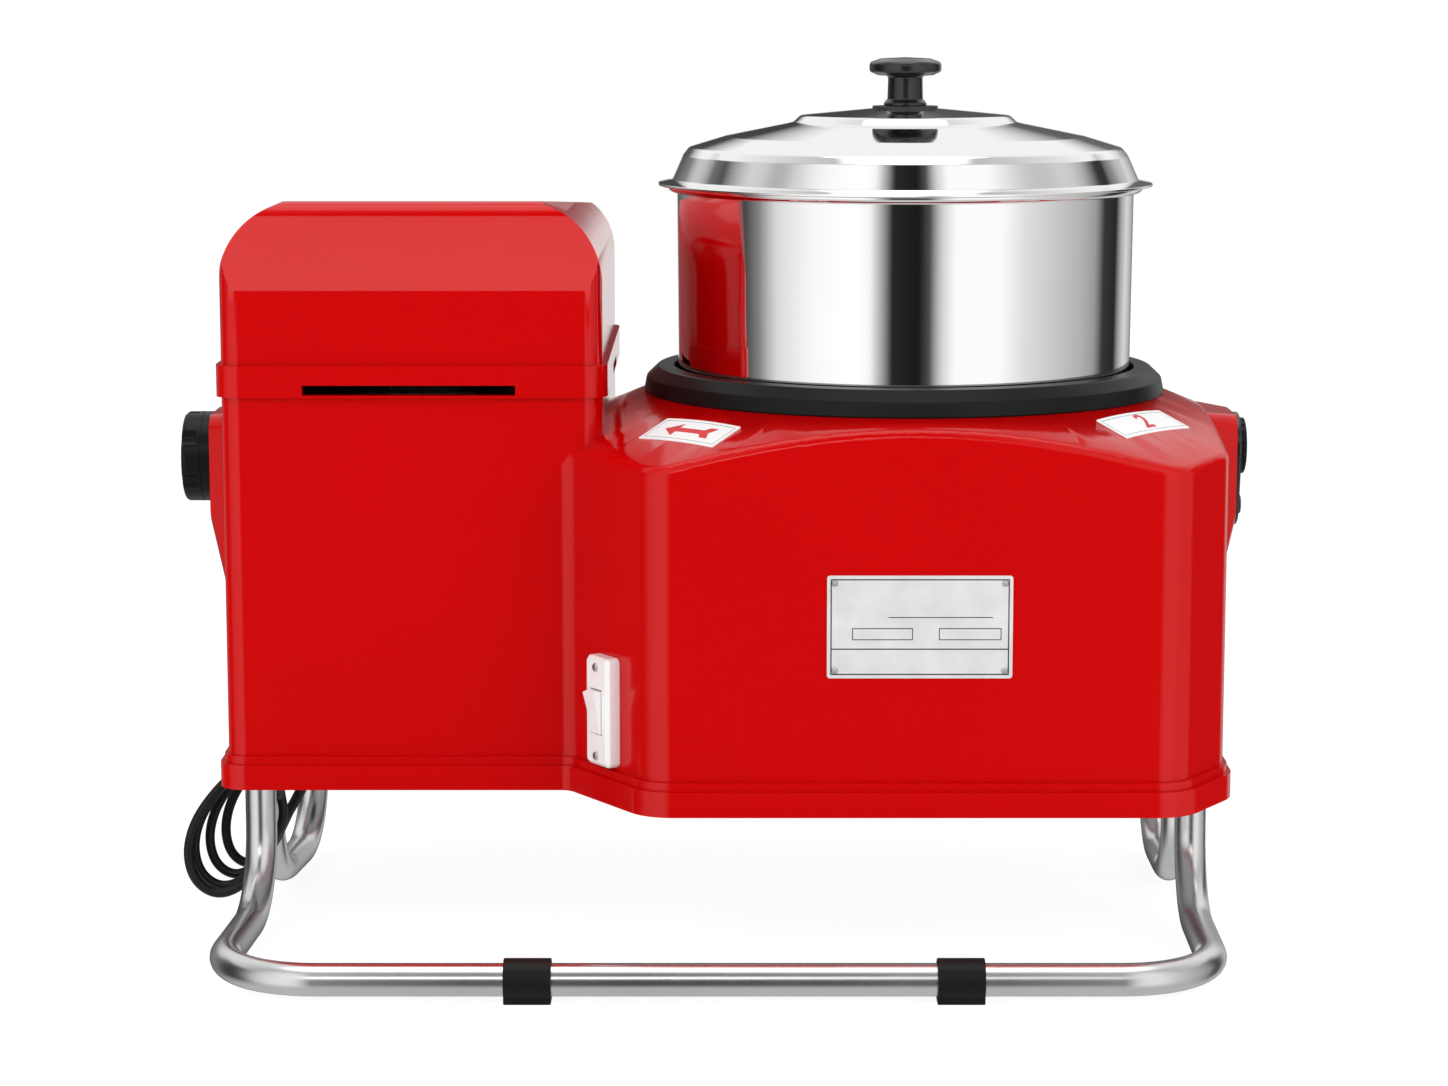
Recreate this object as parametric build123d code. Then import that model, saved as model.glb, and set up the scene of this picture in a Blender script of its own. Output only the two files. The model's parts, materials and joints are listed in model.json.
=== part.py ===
from build123d import *
import os
from math import asin, atan2, cos, degrees, hypot, pi, radians, sin, sqrt, tan

os.makedirs("parts", exist_ok=True)

# Two-stone table wet grinder on a bent tube stand.
# Millimetres, +Z up, front towards -Y. The origin is on the floor, under the middle of the
# object's box. Shapes are drawn about the drum's axis and moved to that origin when written.

# Shared fits and overruns
run_fit = 0.05
seat_gap = 0.1
clear_gap = 0.3
hair = 0.01
overrun = 20.0
sheet = 2.0
screw_r = 2.0
screw_head_r = 3.8
screw_head_tall = 2.2

# Stand of bent steel tube
tube_r = 9.5
tube_wall = 1.5
bar_ahead = 240.0
bar_rise = 2.9
bar_half = 287.0
corner_r = 57.0
floor_bend_r = 50.0
skid_bend_r = 44.0
leg_ahead = 68.0
leg_left = 277.0
leg_right = 290.5
skid_near_back = 2.0
skid_rear_back = 125.0
skid_left_near = 281.5
skid_left_rear = 267.0
skid_right_near = 291.0
skid_right_rear = 291.0
clip_wall = 2.8
clip_long = 27.0
clip_left = 105.6
clip_right = 139.7
clip_foot_wide = 18.0
socket_wall = 2.0
socket_tall = 15.0

# Lower casing
wall = 3.0
skirt_z = 92.0
skirt_tall = 20.0
skirt_band_tall = 15.0
skirt_flare = 5.0
case_half_width = 186.0
case_ahead = 175.0
case_back = 170.0
front_half = 153.4
facet_turn = 57.35
box_reach = 409.3
box_ahead = 101.0
tower_in = 182.8
joint_z = 328.0
land_r = 160.0
land_z = 322.4
roof_fall = 0.4
front_corner_r = 24.0
side_corner_r = 30.0
rear_corner_r = 38.0
box_corner_r = 12.0
step_corner_r = 14.0
roof_edge_r = 7.0
drum_hole_r = 148.0
boss_post_r = 6.0
boss_post_tall = 26.0
boss_post_in = 5.0

# Side bosses of the casing
boss_back = 20.0
port_z = 278.0
left_boss_proud = 19.5
right_boss_proud = 20.2
boss_foot_z = 150.0
boss_foot_half = 44.0
boss_face_half = 31.0
boss_head_tall = 28.5
boss_under_tall = 40.0

# Motor cover
cover_proud = 3.0
cover_band_tall = 19.0
cover_top_z = 443.0
cover_slope_z = 391.0
cover_lean = 17.5
cover_fall = 3.5
cover_corner_r = 48.0
cover_back_r = 36.0
cover_slot_long = 126.0
cover_slot_tall = 6.0
cover_slot_mid = -1.0
cover_lip_tall = 6.0
cover_lip_wall = 2.0

# Drum, collar and lid
drum_top_r = 140.0
drum_low_r = 138.5
drum_wall = 1.2
drum_rim_z = 447.9
drum_deep = 164.9
drum_foot_r = 12.0
drum_bead_r = 3.4
drum_tube_r = 15.0
drum_tube_tall = 62.0
collar_top_z = 338.0
collar_lip_r = 141.6
collar_top_r = 151.0
collar_spigot_deep = 7.0
collar_spigot_wall = 4.0
lid_sheet = 1.0
lid_rim_r = 151.6
lid_shoulder_r = 135.5
lid_shoulder_rise = 20.0
lid_band_r = 143.5
lid_band_rise = 2.5
lid_slope_r = 110.0
lid_slope_rise = 29.0
lid_step_r = 72.0
lid_step_rise = 36.6
lid_crown_r = 66.0
lid_crown_rise = 41.2
lid_top_rise = 45.7
lid_skirt_deep = 9.0
knob_stem_r = 10.4
knob_foot_r = 14.5
knob_disc_r = 22.0
knob_disc_thick = 13.5
knob_tall = 29.5
knob_washer_r = 20.0
knob_washer_thick = 1.5

# Grinding stones and their holder
base_stone_r = 128.0
base_stone_thick = 38.0
base_stone_bore_r = 19.0
roller_r = 42.0
roller_end_r = 38.5
roller_long = 76.0
roller_in = 26.0
pin_r = 6.0
holder_half = 19.0
holder_tall = 32.0
wiper_thick = 4.0
wiper_tall = 92.0
wiper_gap = 1.6
wiper_wide = 26.0
wiper_arm_thick = 10.0

# Post, hub, bearings and belt drive
post_r = 10.0
post_collar_r = 13.0
post_top_z = 412.0
post_foot_r = 55.0
post_foot_thick = 8.0
post_sleeve_r = 24.0
post_sleeve_tall = 38.0
post_bolt_ring_r = 42.0
hub_z = 166.0
hub_r = 27.0
hub_flange_r = 62.0
hub_flange_thick = 7.0
hub_bore_r = 14.5
bearing_r = 21.0
bearing_thick = 12.0
pulley_z = 181.0
pulley_pitch_r = 136.0
motor_pulley_pitch_r = 20.0
pulley_thick = 18.0
pulley_web_thick = 5.0
pulley_rim_wall = 16.0
groove_half = 6.5
groove_deep = 9.0
belt_above_pitch = 2.6
belt_thick = 8.0
belt_slope = 18.0
belt_gap = 0.35

# Motor and its carrier
motor_x = -296.0
motor_back = 20.0
motor_r = 60.0
motor_plate_z = 304.0
motor_plate_half = 80.0
motor_plate_thick = 4.0
pillar_r = 6.0
pillar_pitch_half = 70.0
end_bell_tall = 16.0
end_bell_r = 62.0
stack_tall = 68.0
stack_bore_r = 35.0
rotor_r = 34.2
shaft_r = 6.0
shaft_foot_z = 168.0
motor_bearing_r = 16.0
motor_bearing_thick = 9.0
tie_bolt_r = 2.5
winding_tall = 9.0

# Side drive port on the left
gear_teeth = 16
gear_pitch_r = 18.0
gear_face = 8.0
gear_tall = 2.2
gear_deep = 2.6
gear_hub_tall = 8.0
gear_backlash = 0.9
port_sleeve_r = 11.0
port_sleeve_end = 338.0
port_cap_r = 28.0
port_cap_thick = 18.35
port_cap_pocket_r = 15.0
port_cap_pocket_deep = 9.0
port_end_out = 3.0

# Control plate, knob and reset on the right
plate_z = 284.7
plate_r = 21.0
plate_low_r = 13.0
plate_drop = 37.0
control_plate_thick = 4.5
control_knob_r = 17.5
control_knob_proud = 3.65
control_shaft_r = 3.0
reset_r = 6.0
reset_proud = 2.2
reset_travel = 1.8
reset_stem_r = 2.5

# Switch on the slanted face
switch_along_share = 0.47
switch_z = 147.0
switch_wide = 25.0
switch_tall = 65.0
switch_thick = 9.0
switch_chamfer = 2.2
switch_window_wide = 13.0
switch_window_tall = 27.0
switch_body_wide = 21.0
switch_body_tall = 38.0
switch_body_deep = 16.0
switch_screw_pitch = 53.0
rocker_long = 24.6
rocker_wide = 12.0
rocker_ear = 3.5
rocker_dip = 1.0
rocker_deep = 5.0
rocker_lean = 10.0

# Plates and labels
name_wide = 107.0
name_tall = 60.0
name_thick = 0.8
name_off = 2.0
name_z = 203.6
name_rivet_in = 4.5
name_rivet_r = 1.8
label_thick = 0.5
arrow_label_angle = -134.6
arrow_label_r = 186.5
arrow_label_long = 61.0
arrow_label_wide = 24.0
mark_label_angle = -40.6
mark_label_r = 178.5
mark_label_long = 66.0
mark_label_wide = 22.0

# Mains lead
cord_r = 3.0
gland_r = 6.0
gland_under = 10.0
gland_flange_r = 9.0
gland_flange_thick = 3.0
plug_wide = 38.0
plug_thick = 22.0
plug_tall = 34.0
plug_corner_r = 6.0
plug_pin_r = 2.5
plug_pin_long = 14.0
plug_pin_pitch = 19.0

gland_object_x = -268.0
gland_object_y = -14.0
tie_wide = 6.0
tie_wall = 0.6
clip_wide = 10.0
clip_ring_wall = 1.5

# Counts and smaller fittings
vent_rows = 7
vent_pitch = 11.0
vent_wide = 4.0
hub_ribs = 6
hub_rib_thick = 5.0
hub_rib_tall = 22.0
pedestal_bolt_count = 4
bolt_r = 3.0
bolt_head_r = 5.5
bolt_head_tall = 4.5
pulley_holes = 5
pulley_hub_wall = 8.0
stack_fins = 24
stack_fin_deep = 1.5
stack_fin_wide = 5.0
tie_bolt_count = 4
capacitor_r = 19.0
capacitor_long = 76.0
capacitor_x = 60.0
capacitor_back = 130.0
terminal_x = -60.0
terminal_back = 135.0
terminal_long = 48.0
terminal_wide = 20.0
terminal_tall = 15.0
terminal_ways = 4

holder_nut_r = 13.0
lid_draw = 1.25
cap_dents = 6
cap_dent_r = 7.0
dial_notches = 18
dial_notch_r = 2.0
holder_nut_tall = 14.0
holder_nut_lobes = 3
holder_bore_gap = 0.1
pin_head_r = 9.0
pin_head_thick = 3.0
knob_screw_r = 3.0
plate_screw_r = 1.6
plate_screw_head_r = 2.6
plate_screw_head_tall = 1.2
breaker_wide = 18.0
breaker_tall = 18.0
breaker_deep = 14.0
control_wide = 26.0
control_tall = 24.0
control_deep = 14.0
port_square = 8.0

# Places that follow from the sizes above
left_reach = box_reach + left_boss_proud + port_cap_thick
right_reach = case_half_width + right_boss_proud + control_plate_thick + control_knob_proud
front_reach = bar_ahead + tube_r + clip_wall
rear_reach = case_back + skirt_flare
drum_x = (left_reach - right_reach) / 2
drum_y = (front_reach - rear_reach) / 2
shelf_z = skirt_z + skirt_tall - wall
floor_plate_z = shelf_z - sheet
bar_z = bar_rise + tube_r
facet_run = tan(radians(90 - facet_turn))
facet_back = -case_ahead + (case_half_width - front_half) / facet_run
step_x = -front_half - (case_ahead - box_ahead) * facet_run
drum_floor_z = drum_rim_z - drum_deep
stone_top_z = drum_floor_z + drum_wall + base_stone_thick
roller_z = stone_top_z + roller_r + clear_gap
lid_z = drum_rim_z + drum_bead_r + clear_gap - lid_band_rise
left_face_x = -box_reach - left_boss_proud
right_face_x = case_half_width + right_boss_proud
motor_at = (motor_x, motor_back)
stack_z = motor_plate_z + motor_plate_thick + end_bell_tall


def put(name, shape):
    """Write one node at its place in the object's frame."""
    export_step(Pos(drum_x, drum_y, 0) * shape, f"parts/{name}.step")


def put_cord(name, shape):
    """Write one node of the cord, which is drawn in the object's frame."""
    export_step(shape, f"parts/{name}.step")


def group(shapes):
    """Several like solids as one node."""
    return Compound([solid for shape in shapes for solid in shape.solids()])


def disc(radius, low, high, at=(0, 0)):
    """Upright round bar between two heights."""
    return Pos(at[0], at[1], (low + high) / 2) * Cylinder(radius, high - low)


def ring(radius, bore, low, high, at=(0, 0)):
    """Upright tube between two heights."""
    return disc(radius, low, high, at) - disc(bore, low - overrun, high + overrun, at)


def bar_x(radius, start, end, y, z):
    """Round bar along X."""
    return Pos((start + end) / 2, y, z) * Rot(0, 90, 0) * Cylinder(radius, abs(end - start))


def bar_y(radius, start, end, x, z):
    """Round bar along Y."""
    return Pos(x, (start + end) / 2, z) * Rot(90, 0, 0) * Cylinder(radius, abs(end - start))


def block(low, high):
    """Box between two corners."""
    size = [high[i] - low[i] for i in range(3)]
    return Pos(*[(high[i] + low[i]) / 2 for i in range(3)]) * Box(*size)


def rise(face, low, tall):
    """Upright prism on a plan outline."""
    return extrude(Pos(0, 0, low) * face, tall, dir=(0, 0, 1))


def turned(points):
    """Solid of revolution about the drum's axis from an (r, z) outline."""
    outline = Polyline(*[(r, 0, z) for r, z in points], close=True)
    return revolve(make_face(outline), Axis.Z)


def rounded(points, radii):
    """Flat face with its corners rounded, one radius for each corner."""
    face = make_face(Polyline(*points, close=True))
    for point, radius in zip(points, radii):
        corner = min(face.vertices(), key=lambda v: hypot(v.X - point[0], v.Y - point[1]))
        face = fillet(corner, radius)
    return face


# Casing outline in plan, grown or shrunk by a distance
def plan(grow):
    points = [
        (-box_reach, case_back),
        (-box_reach, -box_ahead),
        (step_x, -box_ahead),
        (-front_half, -case_ahead),
        (front_half, -case_ahead),
        (case_half_width, facet_back),
        (case_half_width, case_back),
    ]
    radii = [rear_corner_r, box_corner_r, step_corner_r, front_corner_r, front_corner_r,
             side_corner_r, rear_corner_r]
    face = rounded(points, radii)
    return offset(face, amount=grow) if grow else face


def roof_height(radius, sink=0):
    """Height of the casing's roof at a distance from the drum's axis."""
    return land_z - sink - roof_fall * max(0, radius - land_r)


def tower_plan(grow):
    """Outline of the motor tower in plan, grown or shrunk by a distance."""
    points = [
        (-box_reach, case_back),
        (-box_reach, -box_ahead),
        (-tower_in, -box_ahead),
        (-tower_in, case_back),
    ]
    face = rounded(points, [rear_corner_r, box_corner_r, box_corner_r, box_corner_r])
    return offset(face, amount=grow) if grow else face


def above_roof(sink):
    """All the space over the coned roof."""
    far = 2 * box_reach
    sky = joint_z + overrun
    return turned([
        (0, roof_height(0, sink)),
        (land_r, roof_height(0, sink)),
        (far, roof_height(far, sink)),
        (far, sky),
        (0, sky),
    ])


def side_boss(wall_x, face_x):
    """Tapered boss on an end wall, flat-topped, running down into the wall."""
    out = 1 if face_x > wall_x else -1
    head = port_z + boss_head_tall
    face_foot = port_z - boss_under_tall
    upright = Plane(origin=(0, boss_back, 0), x_dir=(0, out, 0), z_dir=(out, 0, 0))
    foot_at = upright.offset(abs(wall_x) - wall / 2) * Pos(0, (boss_foot_z + head + wall) / 2)
    face_at = upright.offset(abs(face_x)) * Pos(0, (face_foot + head) / 2)
    foot = foot_at * RectangleRounded(2 * boss_foot_half, head + wall - boss_foot_z, box_corner_r)
    face = face_at * RectangleRounded(2 * boss_face_half, head - face_foot, box_corner_r)
    return loft([foot, face])


# Lower casing: one moulding with a step, a coned roof and a flared skirt
def casing_form(sink):
    """The casing's outer form, or with a sink the room inside it."""
    body = rise(plan(-sink), skirt_z, joint_z - skirt_z) - above_roof(sink)
    return body + rise(tower_plan(-sink), skirt_z, joint_z - skirt_z)


def roof_edges(form):
    """Upper edges of the coned roof, apart from those at the tower."""
    picked = []
    for edge in form.edges():
        box = edge.bounding_box()
        middle = edge.center()
        if box.min.Z < roof_height(2 * case_ahead) or box.max.Z > land_z - clear_gap:
            continue
        if middle.X < -tower_in + clear_gap and middle.Y > -box_ahead - clear_gap:
            continue
        picked.append(edge)
    return picked


outer = casing_form(0)
outer = fillet(roof_edges(outer), roof_edge_r)
skirt = rise(plan(skirt_flare), skirt_z, skirt_band_tall)
skirt_step = rise(plan(skirt_flare / 2), skirt_z, skirt_tall)
outer = outer + skirt + skirt_step
room = casing_form(wall) & block((-2 * box_reach, -2 * case_ahead, shelf_z),
                                 (2 * box_reach, 2 * case_ahead, joint_z))
mouth = rise(plan(skirt_flare - wall), skirt_z - overrun, shelf_z - skirt_z + overrun)
top_mouth = rise(tower_plan(-wall), joint_z - wall, overrun)
casing = outer - room - mouth - top_mouth - disc(drum_hole_r, shelf_z, joint_z + overrun)
casing += side_boss(-box_reach, left_face_x)
casing += side_boss(case_half_width, right_face_x)

# Screw posts that hang inside the casing down to the base plate
inset = wall + boss_post_in
post_places = [
    (-box_reach + inset, -box_ahead + inset),
    (-box_reach + inset, case_back - rear_corner_r),
    (motor_x, case_back - inset),
    (-tower_in, case_back - inset),
    (case_half_width - rear_corner_r, case_back - inset),
    (case_half_width - inset, facet_back + side_corner_r),
    (front_half - front_corner_r, -case_ahead + inset),
    (-front_half + front_corner_r + inset, -case_ahead + inset),
    (motor_x, -box_ahead + inset),
]
for place in post_places:
    casing += disc(boss_post_r, shelf_z, shelf_z + boss_post_tall, place)
for place in post_places:
    casing -= disc(screw_r, shelf_z - overrun, shelf_z + boss_post_tall / 2, place)

# Bores for the drive port, the control shaft, the reset stem and the switch
port_bore = bar_x(port_sleeve_r, left_face_x - overrun, -box_reach + overrun, boss_back, port_z)
reset_z = plate_z - plate_drop
pocket_half = control_wide / 2 + wall
right_pocket = block(
    (case_half_width - wall - overrun, boss_back - pocket_half, reset_z - breaker_tall / 2 - wall),
    (right_face_x - wall, boss_back + pocket_half, plate_z + control_tall / 2 + wall))
control_bore = bar_x(control_shaft_r + seat_gap, case_half_width, right_face_x + overrun, boss_back, plate_z)
reset_bore = bar_x(reset_stem_r + seat_gap, case_half_width, right_face_x + overrun, boss_back, reset_z)
facet_along = (cos(radians(facet_turn)), -sin(radians(facet_turn)), 0)
facet_out = (-sin(radians(facet_turn)), -cos(radians(facet_turn)), 0)
switch_x = step_x + (-front_half - step_x) * switch_along_share
switch_y = -box_ahead - (case_ahead - box_ahead) * switch_along_share
switch_at = Plane(origin=(switch_x, switch_y, switch_z), x_dir=facet_along, z_dir=facet_out)
switch_hole = switch_at * Box(switch_body_wide + 2 * clear_gap, switch_body_tall + 2 * clear_gap, overrun)
casing = casing - port_bore - right_pocket - control_bore - reset_bore - switch_hole
put("body_shell", casing)


# Motor cover: a tall cap with a leaning front, a rounded top and a proud lower band
def tower_form(sink):
    """Outer form of the motor cover, or with a sink the room inside it."""
    left = -box_reach + sink
    right = -tower_in - sink
    top = cover_top_z - sink
    front = -box_ahead + sink
    back = case_back - sink
    lean = (top - cover_slope_z) * tan(radians(cover_lean))
    fall = (back - front - lean) * tan(radians(cover_fall))
    arch = rounded(
        [(left - hair, joint_z - overrun), (right + hair, joint_z - overrun), (right + hair, top),
         (left - hair, top)],
        [clear_gap, clear_gap, cover_corner_r - sink, cover_corner_r - sink])
    arch = extrude(Plane.XZ.offset(2 * case_back) * arch, 4 * case_back, dir=(0, 1, 0))
    side = rounded(
        [(front - hair, joint_z - overrun), (back + hair, joint_z - overrun), (back + hair, top - fall),
         (front + lean, top), (front - hair, cover_slope_z)],
        [clear_gap, clear_gap, cover_back_r, box_corner_r, box_corner_r])
    side = extrude(Plane.YZ.offset(left - overrun) * side, right - left + 2 * overrun, dir=(1, 0, 0))
    upright = rise(tower_plan(-sink), joint_z, cover_top_z - joint_z + overrun)
    return upright & arch & side


cover = tower_form(0)
band = rise(tower_plan(cover_proud), joint_z, cover_band_tall)
cover = cover + band - tower_form(wall)
lip = rise(tower_plan(-wall - seat_gap), joint_z - cover_lip_tall, cover_lip_tall)
lip += rise(tower_plan(-wall / 2), joint_z, cover_lip_tall)
lip_room = rise(tower_plan(-wall - cover_lip_wall), joint_z - overrun, 3 * overrun)
cover = cover + (lip - lip_room)
slot_mid_x = (-box_reach - tower_in) / 2 + cover_slot_mid
slot_low = joint_z + cover_slot_tall / 4
cover -= block((slot_mid_x - cover_slot_long / 2, -box_ahead - overrun, slot_low),
               (slot_mid_x + cover_slot_long / 2, -box_ahead + overrun / 2, slot_low + cover_slot_tall))
cover -= block((-tower_in - overrun / 2, motor_back, slot_low),
               (-tower_in + overrun, motor_back + cover_slot_long / 2, slot_low + cover_slot_tall))
cover_screw_z = joint_z + cover_band_tall / 2
cover_screws = []
for place in (-box_reach + rear_corner_r, -tower_in - rear_corner_r):
    cover -= bar_y(screw_r, case_back - overrun, case_back + overrun, place, cover_screw_z)
    cover_screws.append(
        bar_y(screw_r - seat_gap, case_back - wall, case_back + cover_proud, place, cover_screw_z)
        + bar_y(screw_head_r, case_back + cover_proud, case_back + cover_proud + screw_head_tall / 2,
                place, cover_screw_z))
put("top_cover", cover)


# Base plate of sheet steel, held up against the casing's ledge
base_plate = rise(plan(skirt_flare - wall - clear_gap), floor_plate_z, sheet)
vent_long = motor_r
for row in range(vent_rows):
    vent_y = motor_back + (row - (vent_rows - 1) / 2) * vent_pitch
    base_plate -= block((motor_x - vent_long / 2, vent_y - vent_wide / 2, floor_plate_z - overrun),
                        (motor_x + vent_long / 2, vent_y + vent_wide / 2, shelf_z + overrun))
gland_at = (gland_object_x - drum_x, gland_object_y - drum_y)
base_plate -= disc(gland_r + seat_gap, floor_plate_z - overrun, shelf_z + overrun, gland_at)
base_screws = []
for place in post_places:
    base_plate -= disc(screw_r + seat_gap, floor_plate_z - overrun, shelf_z + overrun, place)
    base_screws.append(disc(screw_head_r, floor_plate_z - screw_head_tall, floor_plate_z, place)
                       + disc(screw_r - seat_gap, floor_plate_z, shelf_z + boss_post_tall / 3, place))
put("base_plate", base_plate)


# Stand: a front loop and two rear skids of one tube, their legs in cups under the base plate
def tube_along(points, radii):
    """Bent tube along a route of straight runs and round bends."""
    route = FilletPolyline(*points, radius=radii)
    start = Plane(origin=route @ 0, z_dir=route % 0)
    return sweep(start * (Circle(tube_r) - Circle(tube_r - tube_wall)), path=route)


def on_floor(x, ahead, z):
    """Point of the stand, from the object's middle and the drum's axis, in the drum's frame."""
    return (x - drum_x, -ahead, z)


leg_top_z = floor_plate_z - seat_gap
front_loop = tube_along(
    [
        on_floor(-leg_left, leg_ahead, leg_top_z),
        on_floor(-leg_left, leg_ahead, bar_z),
        on_floor(-bar_half, bar_ahead, bar_z),
        on_floor(bar_half, bar_ahead, bar_z),
        on_floor(leg_right, leg_ahead, bar_z),
        on_floor(leg_right, leg_ahead, leg_top_z),
    ],
    [floor_bend_r, corner_r, corner_r, floor_bend_r])
put("front_loop", front_loop)
skids = []
for near_x, rear_x in ((-skid_left_near, -skid_left_rear), (skid_right_near, skid_right_rear)):
    skids.append(tube_along(
        [
            on_floor(near_x, -skid_near_back, leg_top_z),
            on_floor(near_x, -skid_near_back, tube_r),
            on_floor(rear_x, -skid_rear_back, tube_r),
            on_floor(rear_x, -skid_rear_back, leg_top_z),
        ],
        [skid_bend_r, skid_bend_r]))
put("rear_skids", group(skids))
leg_places = [
    (-leg_left - drum_x, -leg_ahead),
    (leg_right - drum_x, -leg_ahead),
    (-skid_left_near - drum_x, skid_near_back),
    (-skid_left_rear - drum_x, skid_rear_back),
    (skid_right_near - drum_x, skid_near_back),
    (skid_right_rear - drum_x, skid_rear_back),
]
sockets = []
for place in leg_places:
    cup = ring(tube_r + seat_gap + socket_wall, tube_r + seat_gap, floor_plate_z - socket_tall,
               floor_plate_z, place)
    sockets.append(cup)
put("leg_sockets", group(sockets))
foot_clips = []
for clip_x in (-clip_left, clip_right):
    grip = bar_x(tube_r + clip_wall, clip_x - clip_long / 2 - drum_x, clip_x + clip_long / 2 - drum_x,
                 -bar_ahead, bar_z)
    foot = block((clip_x - clip_long / 2 - drum_x, -bar_ahead - clip_foot_wide / 2, 0),
                 (clip_x + clip_long / 2 - drum_x, -bar_ahead + clip_foot_wide / 2, bar_z))
    grip = grip + foot - bar_x(tube_r + seat_gap, -overrun + clip_x - clip_long - drum_x,
                               clip_x + clip_long + overrun - drum_x, -bar_ahead, bar_z)
    foot_clips.append(grip)
put("foot_clips", group(foot_clips))


# Grinding drum of thin steel with a rolled bead, a centre tube and a black collar round it
def drum_radius(z):
    """Outer radius of the drum's wall at a height."""
    share = (z - drum_floor_z) / drum_deep
    return drum_low_r + (drum_top_r - drum_low_r) * share


def drum_skin(sink):
    """The drum's outer form, or with a sink its inside."""
    skin = turned([
        (0, drum_floor_z + sink),
        (drum_low_r - sink, drum_floor_z + sink),
        (drum_top_r - sink, drum_rim_z + sink),
        (0, drum_rim_z + sink),
    ])
    low_edge = skin.edges().filter_by(GeomType.CIRCLE).sort_by(Axis.Z)[0]
    return fillet(low_edge, drum_foot_r - sink)


tube_top_z = drum_floor_z + drum_tube_tall
drum = drum_skin(0) - drum_skin(drum_wall)
drum += ring(drum_tube_r, drum_tube_r - drum_wall, drum_floor_z, tube_top_z)
drum -= disc(drum_tube_r - drum_wall, drum_floor_z - overrun, tube_top_z + overrun)
bead_at = Plane.XZ * Pos(drum_top_r + drum_bead_r - drum_wall, drum_rim_z)
drum += revolve(bead_at * Circle(drum_bead_r), Axis.Z)
put("drum", drum)
collar_spigot_r = drum_hole_r - clear_gap
collar = turned([
    (collar_lip_r, collar_top_z - clear_gap),
    (collar_lip_r + clear_gap, collar_top_z),
    (collar_top_r, collar_top_z),
    (land_r - wall, collar_top_z - (collar_top_z - land_z) / 3),
    (land_r, land_z + wall / 2),
    (land_r, land_z),
    (collar_spigot_r, land_z),
    (collar_spigot_r, land_z - collar_spigot_deep),
    (collar_spigot_r - collar_spigot_wall, land_z - collar_spigot_deep),
    (collar_lip_r, land_z),
])
collar_edges = [e for e in collar.edges().filter_by(GeomType.CIRCLE)
                if e.radius > collar_top_r - clear_gap and e.center().Z > land_z + wall]
collar = fillet(collar_edges, wall)
put("drum_collar", collar)

# Hub, bearings and fixed centre post under the drum
hub_top_z = drum_floor_z
hub = ring(hub_r, hub_bore_r, hub_z, hub_top_z)
hub += ring(hub_flange_r, hub_bore_r, hub_top_z - hub_flange_thick, hub_top_z)
for rib in range(hub_ribs):
    arm = block((hub_r - wall, -hub_rib_thick / 2, hub_top_z - hub_flange_thick - hub_rib_tall),
                (hub_flange_r - wall, hub_rib_thick / 2, hub_top_z - hub_flange_thick))
    slope = Plane.XZ.offset(-hub_rib_thick) * make_face(Polyline(
        (hub_r, hub_top_z - hub_flange_thick - hub_rib_tall - clear_gap),
        (hub_flange_r, hub_top_z - hub_flange_thick - hub_rib_tall - clear_gap),
        (hub_flange_r, hub_top_z - hub_flange_thick - wall), close=True))
    arm -= extrude(slope, 2 * hub_rib_thick, dir=(0, -1, 0))
    hub += Rot(0, 0, rib * 360 / hub_ribs) * arm
lower_seat_z = hub_z + wall
upper_seat_z = hub_top_z - hub_flange_thick - bearing_thick
hub -= disc(bearing_r + run_fit, hub_z - overrun, lower_seat_z + bearing_thick)
hub -= disc(bearing_r + run_fit, upper_seat_z, hub_top_z - wall)
put("drum_hub", hub)
hub_bearings = [ring(bearing_r, post_r, seat_z + clear_gap, seat_z + bearing_thick - clear_gap)
                for seat_z in (lower_seat_z, upper_seat_z)]
post = disc(post_r, shelf_z, post_top_z)
post += disc(post_collar_r, shelf_z + post_sleeve_tall, lower_seat_z + clear_gap)
put("centre_post", post)
pedestal = ring(post_foot_r, post_r, shelf_z, shelf_z + post_foot_thick)
pedestal += ring(post_sleeve_r, post_r, shelf_z, shelf_z + post_sleeve_tall)
pedestal_bolts = []
for turn in range(pedestal_bolt_count):
    angle = 2 * pi * (turn + 1 / 2) / pedestal_bolt_count
    place = (post_bolt_ring_r * cos(angle), post_bolt_ring_r * sin(angle))
    pedestal -= disc(bolt_r + seat_gap, shelf_z - overrun, shelf_z + overrun, place)
    bolt_top_z = shelf_z + post_foot_thick
    pedestal_bolts.append(disc(bolt_r, shelf_z, bolt_top_z, place)
                          + disc(bolt_head_r, bolt_top_z, bolt_top_z + bolt_head_tall, place))
put("post_pedestal", pedestal)
put("pedestal_bolts", group(pedestal_bolts))


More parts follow.
